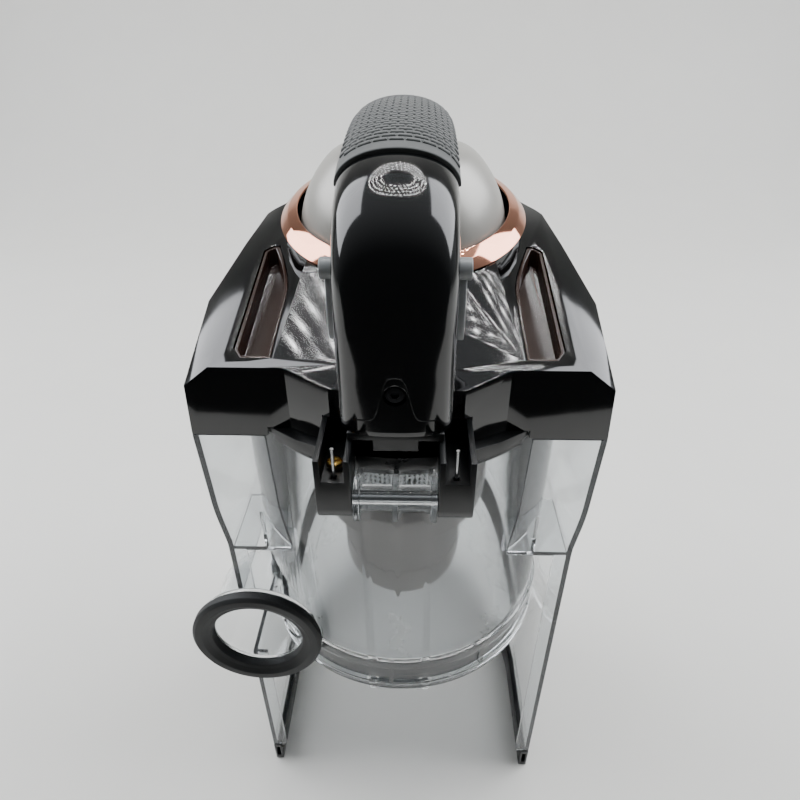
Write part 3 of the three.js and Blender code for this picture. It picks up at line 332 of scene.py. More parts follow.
def raised(name, outline, z0, z1):
    """An outline raised from one height to another."""
    return skinned(name, [[at(x, y, z) for x, y in outline] for z in (z0, z1)])


rails = raised("rails", band(SKIRT_X, SKIRT_X - RAIL_WIDTH, -0.6), 0, RAIL_TOP)
for side in (-1, 1):
    near, far = sorted((side * (SKIRT_X - 1.3), side * (SKIRT_X - 3.3)))
    without(rails, block("end_slot", (near, far), (-2, 9), (3.2, 12.2)))
softened(rails, 0.35)
fitted(rails, "base_rails", satin_abs, "dust_cup", "satin_black", "base_trim")

# ---------------------------------------------------------------- skirt
# Clear styrene skirt, injection moulded with a mirror polish. It closes round the motor unit and
# flares into two corner pockets under the lid; its free edges are turned in for stiffness.

SKIRT_WALL = 1.9
SKIRT_FOOT = RAIL_TOP + 0.3
SKIRT_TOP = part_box("outer_shell")[1][2] / MM
BEND_Z = SKIRT_TOP - 41.2
POCKET_Z = SKIRT_TOP - 62.4
BEND_X, TOP_X = SKIRT_X + 2.7, SKIRT_X + 4.2
CUP_R = 73.0
POCKET_X = 47.7
PORT_X, PORT_Z, DUCT_R = -68.5, 129.0, 24.0


def clear_plastic(name, colour, roughness, ripple_mm, ior):
    """Clear moulding: faint flow ripples, a little haze from wiping, and a trace of scattered light."""
    return moulded(name, colour, roughness, ripple_mm, 0.02, drift=0.5, IOR=ior, Transmission_Weight=0.965)


# Styrene-acrylonitrile: water clear, glossy, with 7 mm flow ripples; edges gather the room's light.
clear_san = clear_plastic("clear_san_plastic", "#f6f8f9", 0.03, 7.0, 1.38)


def skirt_rings(levels, inset_wall, lip):
    """The skirt's closed outline at each height, as metre rings."""
    return [[at(x, y, z) for x, y in band(half, half - inset_wall, 0, lip, SKIRT_WALL)] for z, half in levels]


lower = skinned("lower", skirt_rings([(SKIRT_FOOT, SKIRT_X), (POCKET_Z - 1, SKIRT_X)], SKIRT_WALL, 7.5))
middle = [(POCKET_Z - 1, SKIRT_X), (POCKET_Z + 3, SKIRT_X + 0.1), (BEND_Z - 5, BEND_X - 0.7),
          (BEND_Z, BEND_X - 0.1), (BEND_Z + 5, BEND_X + 0.25), (SKIRT_TOP, TOP_X)]
upper = skinned("upper", skirt_rings(middle, SKIRT_WALL, 28.1))
skirt = without(lower, upper, operation="UNION")
for side in (-1, 1):
    xs = sorted((side * POCKET_X, side * (SKIRT_X - 0.8)))
    without(skirt, block("pocket_floor", xs, (0.6, 36), (POCKET_Z - SKIRT_WALL, POCKET_Z)), operation="UNION")
    xs = sorted((side * 58.0, side * 59.6))
    web = [at(xs[0], 1.2, POCKET_Z - 1), at(xs[0], 14, POCKET_Z - 1), at(xs[0], 14, POCKET_Z + 1),
           at(xs[0], 2, POCKET_Z + 21), at(xs[0], 1.2, POCKET_Z + 21)]
    other = [p + Vector(((xs[1] - xs[0]) * MM, 0, 0)) for p in web]
    without(skirt, skinned("web", [web, other]), operation="UNION")

def turned(name, profile, place, segments=96, lean=0.0, along="Z"):
    """Turns a closed profile of (radius, height) about an axis through a point of the design frame."""
    frame_turn = Matrix.Rotation(lean, 3, "X")
    if along == "Y":
        frame_turn = Matrix.Rotation(math.pi / 2, 3, "X")
    if along == "X":
        frame_turn = Matrix.Rotation(math.pi / 2, 3, "Y")
    rings = []
    for s in range(segments):
        a = 2 * math.pi * s / segments
        ring = []
        for r, z in profile:
            offset = frame_turn @ Vector((r * math.cos(a), r * math.sin(a), z))
            ring.append(at(place[0] + offset.x, place[1] + offset.y, place[2] + offset.z))
        rings.append(ring)
    return skinned(name, rings, joined=True)


bore = turned("bore", [(0.01, POCKET_Z - 12), (CUP_R + 0.3, POCKET_Z - 12),
                       (CUP_R + 0.3, SKIRT_TOP + 4), (0.01, SKIRT_TOP + 4)], (0, AXIS_Y, 0))
without(skirt, bore)
port_room = turned("port_room", [(0.01, 24), (DUCT_R + 0.3, 24), (DUCT_R + 0.3, -60), (0.01, -60)],
                   (PORT_X, 0, PORT_Z), 64, along="Y")
flange_room = turned("flange_room", [(0.01, 24), (29.3, 24), (29.3, 1.3), (0.01, 1.3)],
                     (PORT_X, 0, PORT_Z), 64, along="Y")
without(skirt, port_room, flange_room)
latch_slot = block("latch_slot", (-7, 7), (AXIS_Y + 60, AXIS_Y + 80), (86, 107))
without(skirt, latch_slot)
fitted(skirt, "skirt_shell", clear_san, "dust_cup", "clear_plastic", "outer_shell", sharp=25)

# ---------------------------------------------------------------- cup
# Clear cup in the same plastic, a little thicker. Two rims stand out round its foot with windows
# between them, and a spool with three cheeks for the lid's hinge pin is moulded on its front.

CUP_WALL = 2.4
CUP_FOOT = 103.0
CUP_TOP = 245.0
RIM_PROUD = 1.9
LOW_RIM_TOP = CUP_FOOT + 5.6
HIGH_RIM_FOOT = LOW_RIM_TOP + 10.4
HIGH_RIM_TOP = HIGH_RIM_FOOT + 6
HINGE_Y, HINGE_Z = -28.0, 240.0
PIN_R = 1.5
clear_cup = clear_plastic("clear_cup_plastic", "#f3f5f6", 0.04, 9.0, 1.38)


def rounded(points, radius, steps=4):
    """A closed outline with each corner replaced by an arc of the radius, as far as its sides allow."""
    result = []
    count = len(points)
    for i in range(count):
        corner = Vector(points[i])
        before = Vector(points[i - 1]) - corner
        after = Vector(points[(i + 1) % count]) - corner
        angle = before.angle(after, math.pi)
        if angle > math.radians(172):
            result.append(tuple(corner))
            continue
        reach = min(radius / math.tan(angle / 2), 0.45 * before.length, 0.45 * after.length)
        first = corner + before.normalized() * reach
        last = corner + after.normalized() * reach
        for k in range(steps + 1):
            t = k / steps
            point = first * (1 - t) ** 2 + corner * 2 * t * (1 - t) + last * t ** 2
            result.append(tuple(point))
    return result


inner, outer, proud = CUP_R - CUP_WALL, CUP_R, CUP_R + RIM_PROUD
profile = rounded([(inner, CUP_FOOT), (proud, CUP_FOOT), (proud, LOW_RIM_TOP), (outer, LOW_RIM_TOP),
                   (outer, HIGH_RIM_FOOT), (proud, HIGH_RIM_FOOT), (proud, HIGH_RIM_TOP),
                   (outer, HIGH_RIM_TOP), (outer, CUP_TOP), (inner, CUP_TOP)], 0.7, 3)
cup = turned("cup", profile, (0, AXIS_Y, 0), 144)
RIBS = 10
for i in range(RIBS):
    a = 2 * math.pi * i / RIBS - math.pi / 2 - 0.05
    out_way, side_way = Vector((math.cos(a), math.sin(a), 0)), Vector((-math.sin(a), math.cos(a), 0))
    corners = []
    for r, w in ((outer - 1, -1.1), (proud - 0.1, -1.1), (proud - 0.1, 1.1), (outer - 1, 1.1)):
        corners.append(out_way * r + side_way * w)
    ends = [[at(c.x, AXIS_Y + c.y, z) for c in corners] for z in (LOW_RIM_TOP - 1, HIGH_RIM_FOOT + 1)]
    without(cup, skinned("rib", ends), operation="UNION")

# The skirt's free edges pass in front of the rims, so the rims are cut flat there.
room = raised("room", around(SKIRT_X - SKIRT_WALL - 0.3, -60), CUP_FOOT - 5, HIGH_RIM_TOP + 4)
outside = raised("outside", [(-140, -90), (140, -90), (140, 200), (-140, 200)],
                 CUP_FOOT - 3, HIGH_RIM_TOP + 2)
without(outside, room)
barrel = turned("barrel", [(0.01, 60), (CUP_R - 0.2, 60), (CUP_R - 0.2, 300), (0.01, 300)],
                (0, AXIS_Y, 0), 144)
without(outside, barrel)
without(cup, outside)
gasket_room = turned("gasket_room", [(0.01, 60), (31.3, 60), (31.3, 4), (0.01, 4)],
                     (PORT_X, 0, PORT_Z), 64, along="Y")
without(cup, gasket_room)

SPOOL_X = 14.4
spool = turned("spool", rounded([(PIN_R + 0.4, -SPOOL_X), (4.6, -SPOOL_X), (4.6, SPOOL_X),
                                 (PIN_R + 0.4, SPOOL_X)], 0.3, 2), (0, HINGE_Y, HINGE_Z), 48, along="X")
for x in (-SPOOL_X + 1.1, 0, SPOOL_X - 1.1):
    cheek = turned("cheek", rounded([(3.0, x - 1.1), (8.4, x - 1.1), (8.4, x + 1.1), (3.0, x + 1.1)], 0.5, 3),
                   (0, HINGE_Y, HINGE_Z), 48, along="X")
    without(spool, cheek, operation="UNION")
    web = block("web", (x - 1.0, x + 1.0), (HINGE_Y + 5, AXIS_Y - CUP_R + 2), (HINGE_Z - 6, HINGE_Z + 2.8))
    without(spool, web, operation="UNION")
without(cup, spool, operation="UNION")
DOOR_HINGE_Y, DOOR_HINGE_Z = -9.6, 98.0
for side in (-1, 1):
    x0, x1 = sorted((side * 11.4, side * 14.8))
    eye = turned("eye", rounded([(1.9, x0), (3.1, x0), (3.1, x1), (1.9, x1)], 0.3, 2),
                 (0, DOOR_HINGE_Y, DOOR_HINGE_Z), 32, along="X")
    post = block("post", (x0, x1), (DOOR_HINGE_Y - 3.1, DOOR_HINGE_Y), (DOOR_HINGE_Z + 2.2, CUP_FOOT + 2))
    without(eye, post, operation="UNION")
    without(cup, eye, operation="UNION")
passage_r = DUCT_R - 2.2
turns = [math.pi / 2 * k / 10 for k in range(1, 11)]
passage_end = [(passage_r * math.cos(a) + 0.01, -19 - passage_r * math.sin(a)) for a in turns]
duct_inside = turned("duct_inside", [(0.01, 10), (passage_r, 10), (passage_r, -19)] + passage_end,
                     (PORT_X, 0, PORT_Z), 64, along="Y")
without(cup, duct_inside)
fitted(cup, "cup_wall", clear_cup, "dust_cup", "clear_plastic", "cup_cylinder", sharp=30)

# ---------------------------------------------------------------- inlet duct and its seal
# Clear tube from the hose's side into the cup, bonded to the skirt's edge, with a moulded rubber
# ring on its mouth that the hose's outlet presses against.

DUCT_WALL = 2.2
MOUTH_Y = -4.0
DUCT_END_Y = 19.0


def duct_form(name, r, mouth):
    """The duct's outer or inner form: a round bar that ends in half a ball."""
    ball = [(r * math.cos(math.pi / 2 * k / 14) + 0.005, -DUCT_END_Y - r * math.sin(math.pi / 2 * k / 14))
            for k in range(15)]
    return turned(name, [(0.01, -mouth), (r + 0.005, -mouth)] + ball, (PORT_X, 0, PORT_Z), 72, along="Y")


duct = duct_form("duct", DUCT_R, MOUTH_Y)
FLANGE_R, FLANGE_BORE, FLANGE_THICK = 29, 20, 2.4
flange_profile = rounded([(FLANGE_BORE, -MOUTH_Y), (FLANGE_R, -MOUTH_Y), (FLANGE_R, -MOUTH_Y - FLANGE_THICK),
                          (FLANGE_BORE, -MOUTH_Y - FLANGE_THICK)], 0.4, 2)
flange = turned("flange", flange_profile, (PORT_X, 0, PORT_Z), 72, along="Y")
without(duct, flange, operation="UNION")
without(duct, duct_form("inside", DUCT_R - DUCT_WALL, MOUTH_Y - 6))
for r, z0, z1 in ((CUP_R + 0.3, 60, CUP_TOP), (proud + 0.3, 80, HIGH_RIM_TOP + 0.3)):
    without(duct, turned("barrel", [(0.01, z0), (r, z0), (r, z1), (0.01, z1)], (0, AXIS_Y, 0), 144))
fitted(duct, "inlet_duct_tube", clear_san, "dust_cup", "clear_plastic", "inlet_duct", sharp=30)

# EPDM rubber: nearly black, matt, with a bloom that lightens it in patches.
epdm = moulded("black_epdm_rubber", "#17191a", 0.55, 0.35, 0.03, IOR=1.5)
SEAL_R, SEAL_BORE, SEAL_THICK = 31.0, 21.0, 6.0
seal_profile = rounded([(SEAL_BORE, 0), (SEAL_R - 1, 0), (SEAL_R, 1.5), (SEAL_R, SEAL_THICK - 1.4),
                        (SEAL_R - 1.6, SEAL_THICK), (SEAL_R - 5, SEAL_THICK),
                        (SEAL_R - 7.2, SEAL_THICK - 1.5),
                        (SEAL_BORE + 1, SEAL_THICK - 2.2)], 0.8, 4)
seal = turned("seal", [(r, z - MOUTH_Y + 0.3) for r, z in seal_profile], (PORT_X, 0, PORT_Z), 128, along="Y")
fitted(seal, "inlet_seal_ring", epdm, "dust_cup", "black_rubber", "inlet_gasket", sharp=60)

# ---------------------------------------------------------------- separator inside the cup
# What shows through the cup: a frosted fine dust tube with a bowl foot, the skirted plate above it
# and the steel screen, all hung from the ring in the cup's mouth.

TUBE_R, TUBE_FOOT = 35.5, 109.5
TUBE_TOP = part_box("fine_dust_tube")[1][2] / MM
# Polypropylene, milky: light goes through but shapes behind are lost; fine dust clings to it.
frosted = moulded("frosted_polypropylene", "#d2ccc8", 0.40, 1.2, 0.02, IOR=1.45, Transmission_Weight=0.62)
BOWL = 12                   # the height of the tube's rounded foot
tube_profile = rounded([(0.01, TUBE_FOOT), (TUBE_R - 14, TUBE_FOOT + 0.8), (TUBE_R - 5, TUBE_FOOT + 4),
                        (TUBE_R, TUBE_FOOT + BOWL), (TUBE_R, TUBE_TOP), (TUBE_R - 1.8, TUBE_TOP),
                        (TUBE_R - 1.8, TUBE_FOOT + BOWL + 1), (TUBE_R - 6.4, TUBE_FOOT + 5.6),
                        (TUBE_R - 14, TUBE_FOOT + 2.8), (0.01, TUBE_FOOT + 2)], 5, 6)
tube = turned("tube", tube_profile, (0, AXIS_Y, 0), 96)
ledge = turned("ledge", rounded([(TUBE_R - 1, 134.2), (TUBE_R + 0.5, 134.2), (TUBE_R + 0.5, 135.6),
                                 (TUBE_R - 1, 135.6)], 0.3, 2), (0, AXIS_Y, 0), 96)
without(tube, ledge, operation="UNION")
fitted(tube, "fine_dust_cup", frosted, "dust_cup", "frosted_plastic", "fine_dust_tube", sharp=40)

cone_profile = rounded([(10, 142), (23.5, 185.7), (22, 185.7), (8.5, 142)], 0.5, 2)
cone = turned("cone", cone_profile, (0, AXIS_Y, 0), 64)
fitted(cone, "dust_funnel", frosted, "dust_cup", "frosted_plastic", "dust_cone", sharp=40)

SCREEN_R = 44.0
apron_profile = rounded([(23.8, 182.7), (47.4, 182.7), (47.4, 174), (49, 174), (49, 185.7), (23.8, 185.7)],
                        0.6, 3)
apron = turned("apron", apron_profile, (0, AXIS_Y, 0), 96)
fitted(apron, "separator_apron", frosted, "dust_cup", "frosted_plastic", "separator_skirt", sharp=40)

# Etched stainless screen: a bright grey sheet with a round hole about every 2.3 mm, hemmed at both ends.
steel_screen = moulded("etched_stainless_screen", "#a3a5a7", 0.32, 1.5, 0.01, Metallic=1.0)


def repeated(made, unit, material):
    """Geometry Nodes: sets a copy of unit on every point of made, turned by its facing and along."""
    tree = bpy.data.node_groups.new("repeat_" + made.name, "GeometryNodeTree")
    tree.interface.new_socket("Geometry", in_out="INPUT", socket_type="NodeSocketGeometry")
    unit_socket = tree.interface.new_socket("Unit", in_out="INPUT", socket_type="NodeSocketObject")
    stuff_socket = tree.interface.new_socket("Material", in_out="INPUT", socket_type="NodeSocketMaterial")
    tree.interface.new_socket("Geometry", in_out="OUTPUT", socket_type="NodeSocketGeometry")
    given = tree.nodes.new("NodeGroupInput")
    info = add(tree, "GeometryNodeObjectInfo", {"Object": given.outputs["Unit"]})
    facing = add(tree, "GeometryNodeInputNamedAttribute", {"Name": "facing"}, data_type="FLOAT_VECTOR")
    along = add(tree, "GeometryNodeInputNamedAttribute", {"Name": "along"}, data_type="FLOAT_VECTOR")
    align = "FunctionNodeAlignRotationToVector"
    upright = add(tree, align, {"Vector": facing.outputs["Attribute"]}, axis="Z")
    turn = add(tree, align, {"Rotation": upright.outputs["Rotation"], "Vector": along.outputs["Attribute"]},
               axis="X", pivot_axis="Z")
    copies = add(tree, "GeometryNodeInstanceOnPoints", {
        "Points": given.outputs["Geometry"], "Instance": info.outputs["Geometry"],
        "Rotation": turn.outputs["Rotation"]})
    real = add(tree, "GeometryNodeRealizeInstances", {"Geometry": copies.outputs["Instances"]})
    coloured = add(tree, "GeometryNodeSetMaterial", {
        "Geometry": real.outputs["Geometry"], "Material": given.outputs["Material"]})
    add(tree, "NodeGroupOutput", {"Geometry": coloured.outputs["Geometry"]})
    modifier = made.modifiers.new("Repeat", "NODES")
    modifier.node_group = tree
    modifier[unit_socket.identifier] = unit
    modifier[stuff_socket.identifier] = material
    settled = made.evaluated_get(bpy.context.evaluated_depsgraph_get())
    mesh = bpy.data.meshes.new_from_object(settled)
    made.modifiers.clear()
    made.data = mesh
    bpy.data.objects.remove(unit)
    return made


def places(name, spots):
    """Loose points for repeated(): each spot is a point, the way it faces and the way it runs."""
    made = object_of(name, [spot[0] for spot in spots], [])
    for word, k in (("facing", 1), ("along", 2)):
        layer = made.data.attributes.new(word, "FLOAT_VECTOR", "POINT")
        for i, spot in enumerate(spots):
            layer.data[i].vector = spot[k]
    return made


def slab(name, layers):
    """A small solid from closed layers of (x, y, z) millimetres about its own origin."""
    return skinned(name, [[Vector(p) * MM for p in layer] for layer in layers])


SCREEN_FOOT, SCREEN_TOP, SHEET = 186.0, 236.7, 0.6
CELLS_ROUND, ROWS_UP, HOLE_R, HEM = 120, 20, 0.72, 2
tall = (SCREEN_TOP - SCREEN_FOOT - 2 * HEM) / ROWS_UP
wide = 2 * SCREEN_R * math.tan(math.pi / CELLS_ROUND)
rim = [(1, 0), (1, 1), (0, 1), (-1, 1), (-1, 0), (-1, -1), (0, -1), (1, -1)]
outer_edge = [(x * wide / 2, y * tall / 2) for x, y in rim]
hole_edge = [(HOLE_R * math.cos(math.pi * k / 4), HOLE_R * math.sin(math.pi * k / 4)) for k in range(8)]
cell_edges = ((outer_edge, 0), (hole_edge, 0), (hole_edge, -SHEET), (outer_edge, -SHEET))
cell = skinned("cell", [[Vector((x, y, z)) * MM for x, y in edge] for edge, z in cell_edges], joined=True)
cell_spots = []
for row in range(ROWS_UP):
    for i in range(CELLS_ROUND):
        a = 2 * math.pi * i / CELLS_ROUND
        out_way = Vector((math.cos(a), math.sin(a), 0))
        height = SCREEN_FOOT + HEM + tall * (row + 0.5)
        place = at(out_way.x * SCREEN_R, AXIS_Y + out_way.y * SCREEN_R, height)
        cell_spots.append((place, out_way, Vector((-out_way.y, out_way.x, 0))))
screen = repeated(places("screen", cell_spots), cell, steel_screen)
for word, foot in (("low", SCREEN_FOOT), ("high", SCREEN_TOP - HEM)):
    edge = [(SCREEN_R - 1.4, foot), (SCREEN_R, foot), (SCREEN_R, foot + HEM), (SCREEN_R - 1.4, foot + HEM)]
    hem = turned("hem", edge, (0, AXIS_Y, 0), 96)
    fitted(hem, "screen_hem_" + word, steel_screen, "dust_cup", "steel", sharp=40)
fitted(screen, "screen_sleeve", steel_screen, "dust_cup", "steel", "separator_screen", sharp=40)

RING_R = 70.2
ring_profile = rounded([(19.3, 237), (RING_R, 237), (RING_R, 244), (RING_R - 2, 244), (RING_R - 2, 240),
                        (19.3, 240)], 0.5, 3)
seat_ring = turned("seat_ring", ring_profile, (0, AXIS_Y, 0), 96)
fitted(seat_ring, "separator_seat", satin_abs, "dust_cup", "satin_black", "separator_ring", sharp=40)

# ---------------------------------------------------------------- bottom door
# Clear door with a rubber lip seal behind the rims' windows; it hangs on a steel pin in front and is
# held by the latch lever behind.

# The same plastic as the cup, frosted by a spark-eroded tool and filmed with dust.
milky = clear_plastic("milky_door_plastic", "#e9ebec", 0.22, 3.0, 1.4)
DOOR_FOOT, DOOR_TOP, DOOR_R, DISHED_R = 99.4, 102.4, 71.6, 59.6
door_profile = rounded([(0.01, DOOR_FOOT), (DOOR_R, DOOR_FOOT), (DOOR_R, DOOR_TOP), (DISHED_R, DOOR_TOP),
                        (DISHED_R, DOOR_TOP - 1.2), (0.01, DOOR_TOP - 1.2)], 0.5, 3)
door = turned("door", door_profile, (0, AXIS_Y, 0), 128)
without(door, block("notch", (-16.4, 16.4), (-30, -5.7), (98.4, 103.4)))
strap = block("strap", (-11, 11), (DOOR_HINGE_Y + 2, DOOR_HINGE_Y + 9), (97, 101))
without(door, strap, operation="UNION")
barrel = turned("barrel", rounded([(1.9, -11), (3.1, -11), (3.1, 11), (1.9, 11)], 0.3, 2),
                (0, DOOR_HINGE_Y, DOOR_HINGE_Z), 32, along="X")
without(door, barrel, operation="UNION")
without(door, block("lip", (-6, 6), (AXIS_Y + 66, AXIS_Y + 71.8), (DOOR_FOOT, DOOR_TOP)), operation="UNION")
fitted(door, "bottom_door_panel", milky, "bottom_door", "clear_plastic", "bottom_door", sharp=30)

door_seal_r = CUP_R - CUP_WALL - 0.4
SEAL_FOOT, SEAL_TOP = 102.7, 119
lip_profile = rounded([(door_seal_r - 2.6, SEAL_FOOT), (door_seal_r, SEAL_FOOT), (door_seal_r, SEAL_TOP),
                       (door_seal_r - 1.6, SEAL_TOP)], 0.6, 3)
door_seal = turned("door_seal", lip_profile, (0, AXIS_Y, 0), 128)
fitted(door_seal, "door_lip_seal", epdm, "dust_cup", "black_rubber", "door_gasket", sharp=50)

# ---------------------------------------------------------------- lid shell
# Gloss black ABS lid: a facetted body with a parting line, two sunk trays beside a raised middle, and
# a round seat for the collar. Moulded with a mirror polish, which shows every lamp and hand mark.


def refined(node, width, angle=24):
    """A copy of a CAD piece as clean faces, its sharp edges rounded by a width in millimetres."""
    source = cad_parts[node]
    made = bpy.data.objects.new(node + "_copy", source.data.copy())
    bpy.context.scene.collection.objects.link(made)
    work = bmesh.new()
    work.from_mesh(made.data)
    bmesh.ops.remove_doubles(work, verts=work.verts, dist=2e-6)
    bmesh.ops.dissolve_limit(work, angle_limit=math.radians(1.0), verts=work.verts, edges=work.edges)
    work.to_mesh(made.data)
    work.free()
    if width:
        modified(made, "BEVEL", width=width * MM, segments=3, limit_method="ANGLE",
                 angle_limit=math.radians(angle), use_clamp_overlap=True)
    return made


# Gloss ABS, a hard dark mirror: low roughness, faint long ripples, dust and wiping marks in the gloss.
gloss_abs = moulded("gloss_black_abs", "#0a0b0c", 0.07, 9.0, 0.02, drift=0.35, IOR=1.5,
                    Coat_Weight=0.25, Coat_Roughness=0.06)
lid = refined("lid_shell", 0.45)
fitted(lid, "lid_cover", gloss_abs, "lid", "gloss_black", "lid_shell", sharp=20)

# Smoked styrene trays: dark brown, glossy, light sinks a little way in.
smoked = moulded("smoked_brown_plastic", "#33241f", 0.12, 6.0, 0.02, drift=0.4, IOR=1.55)
for side in ("left", "right"):
    tray = refined("recess_tray_" + side, 0.4)
    fitted(tray, "lid_tray_" + side, smoked, "lid", "smoked_brown", "recess_tray_" + side, sharp=24)

# ---------------------------------------------------------------- lid base, ears and foot cap
# Satin black plate under the lid with the crescent collar and the two hinge ears, and the cap
# on the handle's foot.

base = refined("lid_base", 0.3)
fitted(base, "lid_under_plate", satin_abs, "lid", "satin_black", "lid_base", sharp=28)
cap = refined("handle_foot_cap", 0.5)
fitted(cap, "foot_cap", satin_abs, "lid", "satin_black", "handle_foot_cap", sharp=28)

# ---------------------------------------------------------------- handle
# Arched carrying handle in two gloss black halves that meet along its sides, screwed to the lid in
# front and let into the hood behind. Its section is a rounded bar, swept along one curve.

HANDLE_W, HANDLE_T = 19.5, 12.0
FOOT_Z = 265.0
RISE = 72.0
handle_path = [(-13.5, FOOT_Z), (-13.8, FOOT_Z + 20), (-14, FOOT_Z + RISE - 34), (-11.5, FOOT_Z + RISE - 18),
               (-2, FOOT_Z + RISE - 6), (14, FOOT_Z + RISE), (38, FOOT_Z + RISE + 3.6),
               (65, FOOT_Z + RISE + 4.6), (89, FOOT_Z + RISE + 2.6), (107, FOOT_Z + RISE - 4),
               (117.5, FOOT_Z + RISE - 15), (121, FOOT_Z + RISE - 24)]


def smooth_path(points, spacing=1.0):
    """A centripetal Catmull-Rom curve through the points, as evenly spaced (point, direction) pairs."""
    knots = [Vector(p) for p in points]
    knots = [2 * knots[0] - knots[1]] + knots + [2 * knots[-1] - knots[-2]]
    fine = []
    for i in range(1, len(knots) - 2):
        p0, p1, p2, p3 = knots[i - 1:i + 3]
        t1 = max((p1 - p0).length, 1e-6) ** 0.5
        t2 = t1 + max((p2 - p1).length, 1e-6) ** 0.5
        t3 = t2 + max((p3 - p2).length, 1e-6) ** 0.5
        for k in range(40):
            t = t1 + (t2 - t1) * k / 40
            a1 = p0.lerp(p1, t / t1)
            a2 = p1.lerp(p2, (t - t1) / (t2 - t1))
            a3 = p2.lerp(p3, (t - t2) / (t3 - t2))
            b1 = a1.lerp(a2, t / t2)
            b2 = a2.lerp(a3, (t - t1) / (t3 - t1))
            fine.append(b1.lerp(b2, (t - t1) / (t2 - t1)))
    fine.append(knots[-2])
    lengths = [0.0]
    for a, b in zip(fine, fine[1:]):
        lengths.append(lengths[-1] + (b - a).length)
    count = round(lengths[-1] / spacing)
    result = []
    for n in range(count + 1):
        target = lengths[-1] * n / count
        k = min(range(len(fine) - 1), key=lambda j: (lengths[j] > target, target - lengths[j]))
        share = (target - lengths[k]) / max(lengths[k + 1] - lengths[k], 1e-9)
        ahead_way = (fine[min(k + 2, len(fine) - 1)] - fine[max(k - 1, 0)]).normalized()
        result.append((fine[k].lerp(fine[k + 1], share), ahead_way))
    return result


spine = smooth_path(handle_path)
SPINE_LENGTH = sum((b[0] - a[0]).length for a, b in zip(spine, spine[1:]))


def spine_at(share):
    """The handle's centre and direction at a share of its length, carried on straight past its ends."""
    place = share * (len(spine) - 1)
    k = min(max(int(place), 0), len(spine) - 2)
    (a, da), (b, db) = spine[k], spine[k + 1]
    t = place - k
    return a + (b - a) * t, (da * (1 - min(max(t, 0), 1)) + db * min(max(t, 0), 1)).normalized()


def on_handle(share, across_x, outward):
    """A point beside the handle's centre line, as metres."""
    middle, way = spine_at(share)
    out = Vector((-way.y, way.x))
    return at(across_x, middle.x + out.x * outward, middle.y + out.y * outward)


SQUARISH, OVAL = 0.72, 0.96


def bar_section(half_w, half_t, start, end, steps, power):
    """Points of a rounded bar's outline between two angles, as (across, outward)."""
    section = []
    for i in range(steps + 1):
        a = start + (end - start) * i / steps
        c, d = math.cos(a), math.sin(a)
        section.append((half_w * math.copysign(abs(c) ** power, c),
                        half_t * math.copysign(abs(d) ** power, d)))
    return section


def power_at(share):
    """How round the bar is: a squarish foot and tail, and an oval under the palm."""
    rise = min(max((share - 0.20) / 0.18, 0), 1)
    fall = min(max((0.97 - share) / 0.14, 0), 1)
    blend = min(rise, fall)
    return SQUARISH + (OVAL - SQUARISH) * blend * blend * (3 - 2 * blend)


def swept(name, section, start, end, steps):
    """Sweeps a closed section, given for each roundness, along a part of the handle."""
    rings = []
    for i in range(steps + 1):
        share = start + (end - start) * i / steps
        rings.append([on_handle(share, x, d) for x, d in section(power_at(share))])
    return skinned(name, rings)


def half_section(side, wall, split):
    """Closed outline of the outer (1) or inner (-1) half of the handle's wall, for each roundness."""
    def outline(power):
        outside_line = bar_section(HANDLE_W, HANDLE_T, 0, side * math.pi, 36, power)
        inside_line = bar_section(HANDLE_W - wall, HANDLE_T - wall, 0, side * math.pi, 36, power)[::-1]
        return [(x, d + side * split) for x, d in outside_line + inside_line]
    return outline


GRIP_FROM, GRIP_TO, GRIP_LIFT = 0.40, 0.80, 0.7
outer_half = swept("outer_half", half_section(1, 4.0, 0.15), 0, 1, 110)
inner_half = swept("inner_half", half_section(-1, 4.0, 0.15), 0, 1, 110)


def grip_section(grow):
    """Closed outline of the grip's pad: over the outer half, wrapped down to the parting line."""
    swell = 1.05 if grow else 1.0
    thick = 1.8 + grow

    def outline(power):
        over = [(x * swell, (d + GRIP_LIFT - grow) * swell)
                for x, d in bar_section(HANDLE_W + 0.7, HANDLE_T + 0.7, 0, math.pi, 48, power)]
        under = [(x, d + GRIP_LIFT - grow)
                 for x, d in bar_section(HANDLE_W - thick, HANDLE_T - thick, 0, math.pi, 48, power)][::-1]
        return over + under
    return outline


grip_room = swept("grip_room", grip_section(0.3), GRIP_FROM - 0.0012, GRIP_TO + 0.0012, 60)
without(outer_half, grip_room)

TAB_Y, TAB_Z = -8.0, 309.0
TAB_TALL, TAB_DEEP, TAB_PROUD, KNOB_R = 26.0, 5.0, 2.6, 3.4


def tab_form(name, side, grow, inward):
    """A release tab's form: a tall lens-shaped bar with a round knob near its top."""
    lens = []
    for k in range(40):
        a = 2 * math.pi * k / 40
        lens.append((TAB_Y + (TAB_DEEP / 2 + grow) * math.sin(a),
                     TAB_Z - 4 + (TAB_TALL / 2 + grow) * math.cos(a)))
    xs = sorted((side * (HANDLE_W - 6 - inward), side * (HANDLE_W + TAB_PROUD)))
    bar = skinned(name, [[at(x, y, z) for y, z in lens] for x in xs])
    xs = sorted((side * (HANDLE_W - 6 - inward), side * (HANDLE_W + TAB_PROUD + 1.4)))
    knob = turned("knob", [(0.01, -xs[1]), (KNOB_R + grow, -xs[1]), (KNOB_R + grow, -xs[0]), (0.01, -xs[0])],
                  (0, TAB_Y - 1, TAB_Z + TAB_TALL / 2 - 5), 40, along="X")
    return without(bar, knob, operation="UNION")


for half in (outer_half, inner_half):
    for side in (-1, 1):
        without(half, tab_form("tab_room", side, 0.3, 2.4))

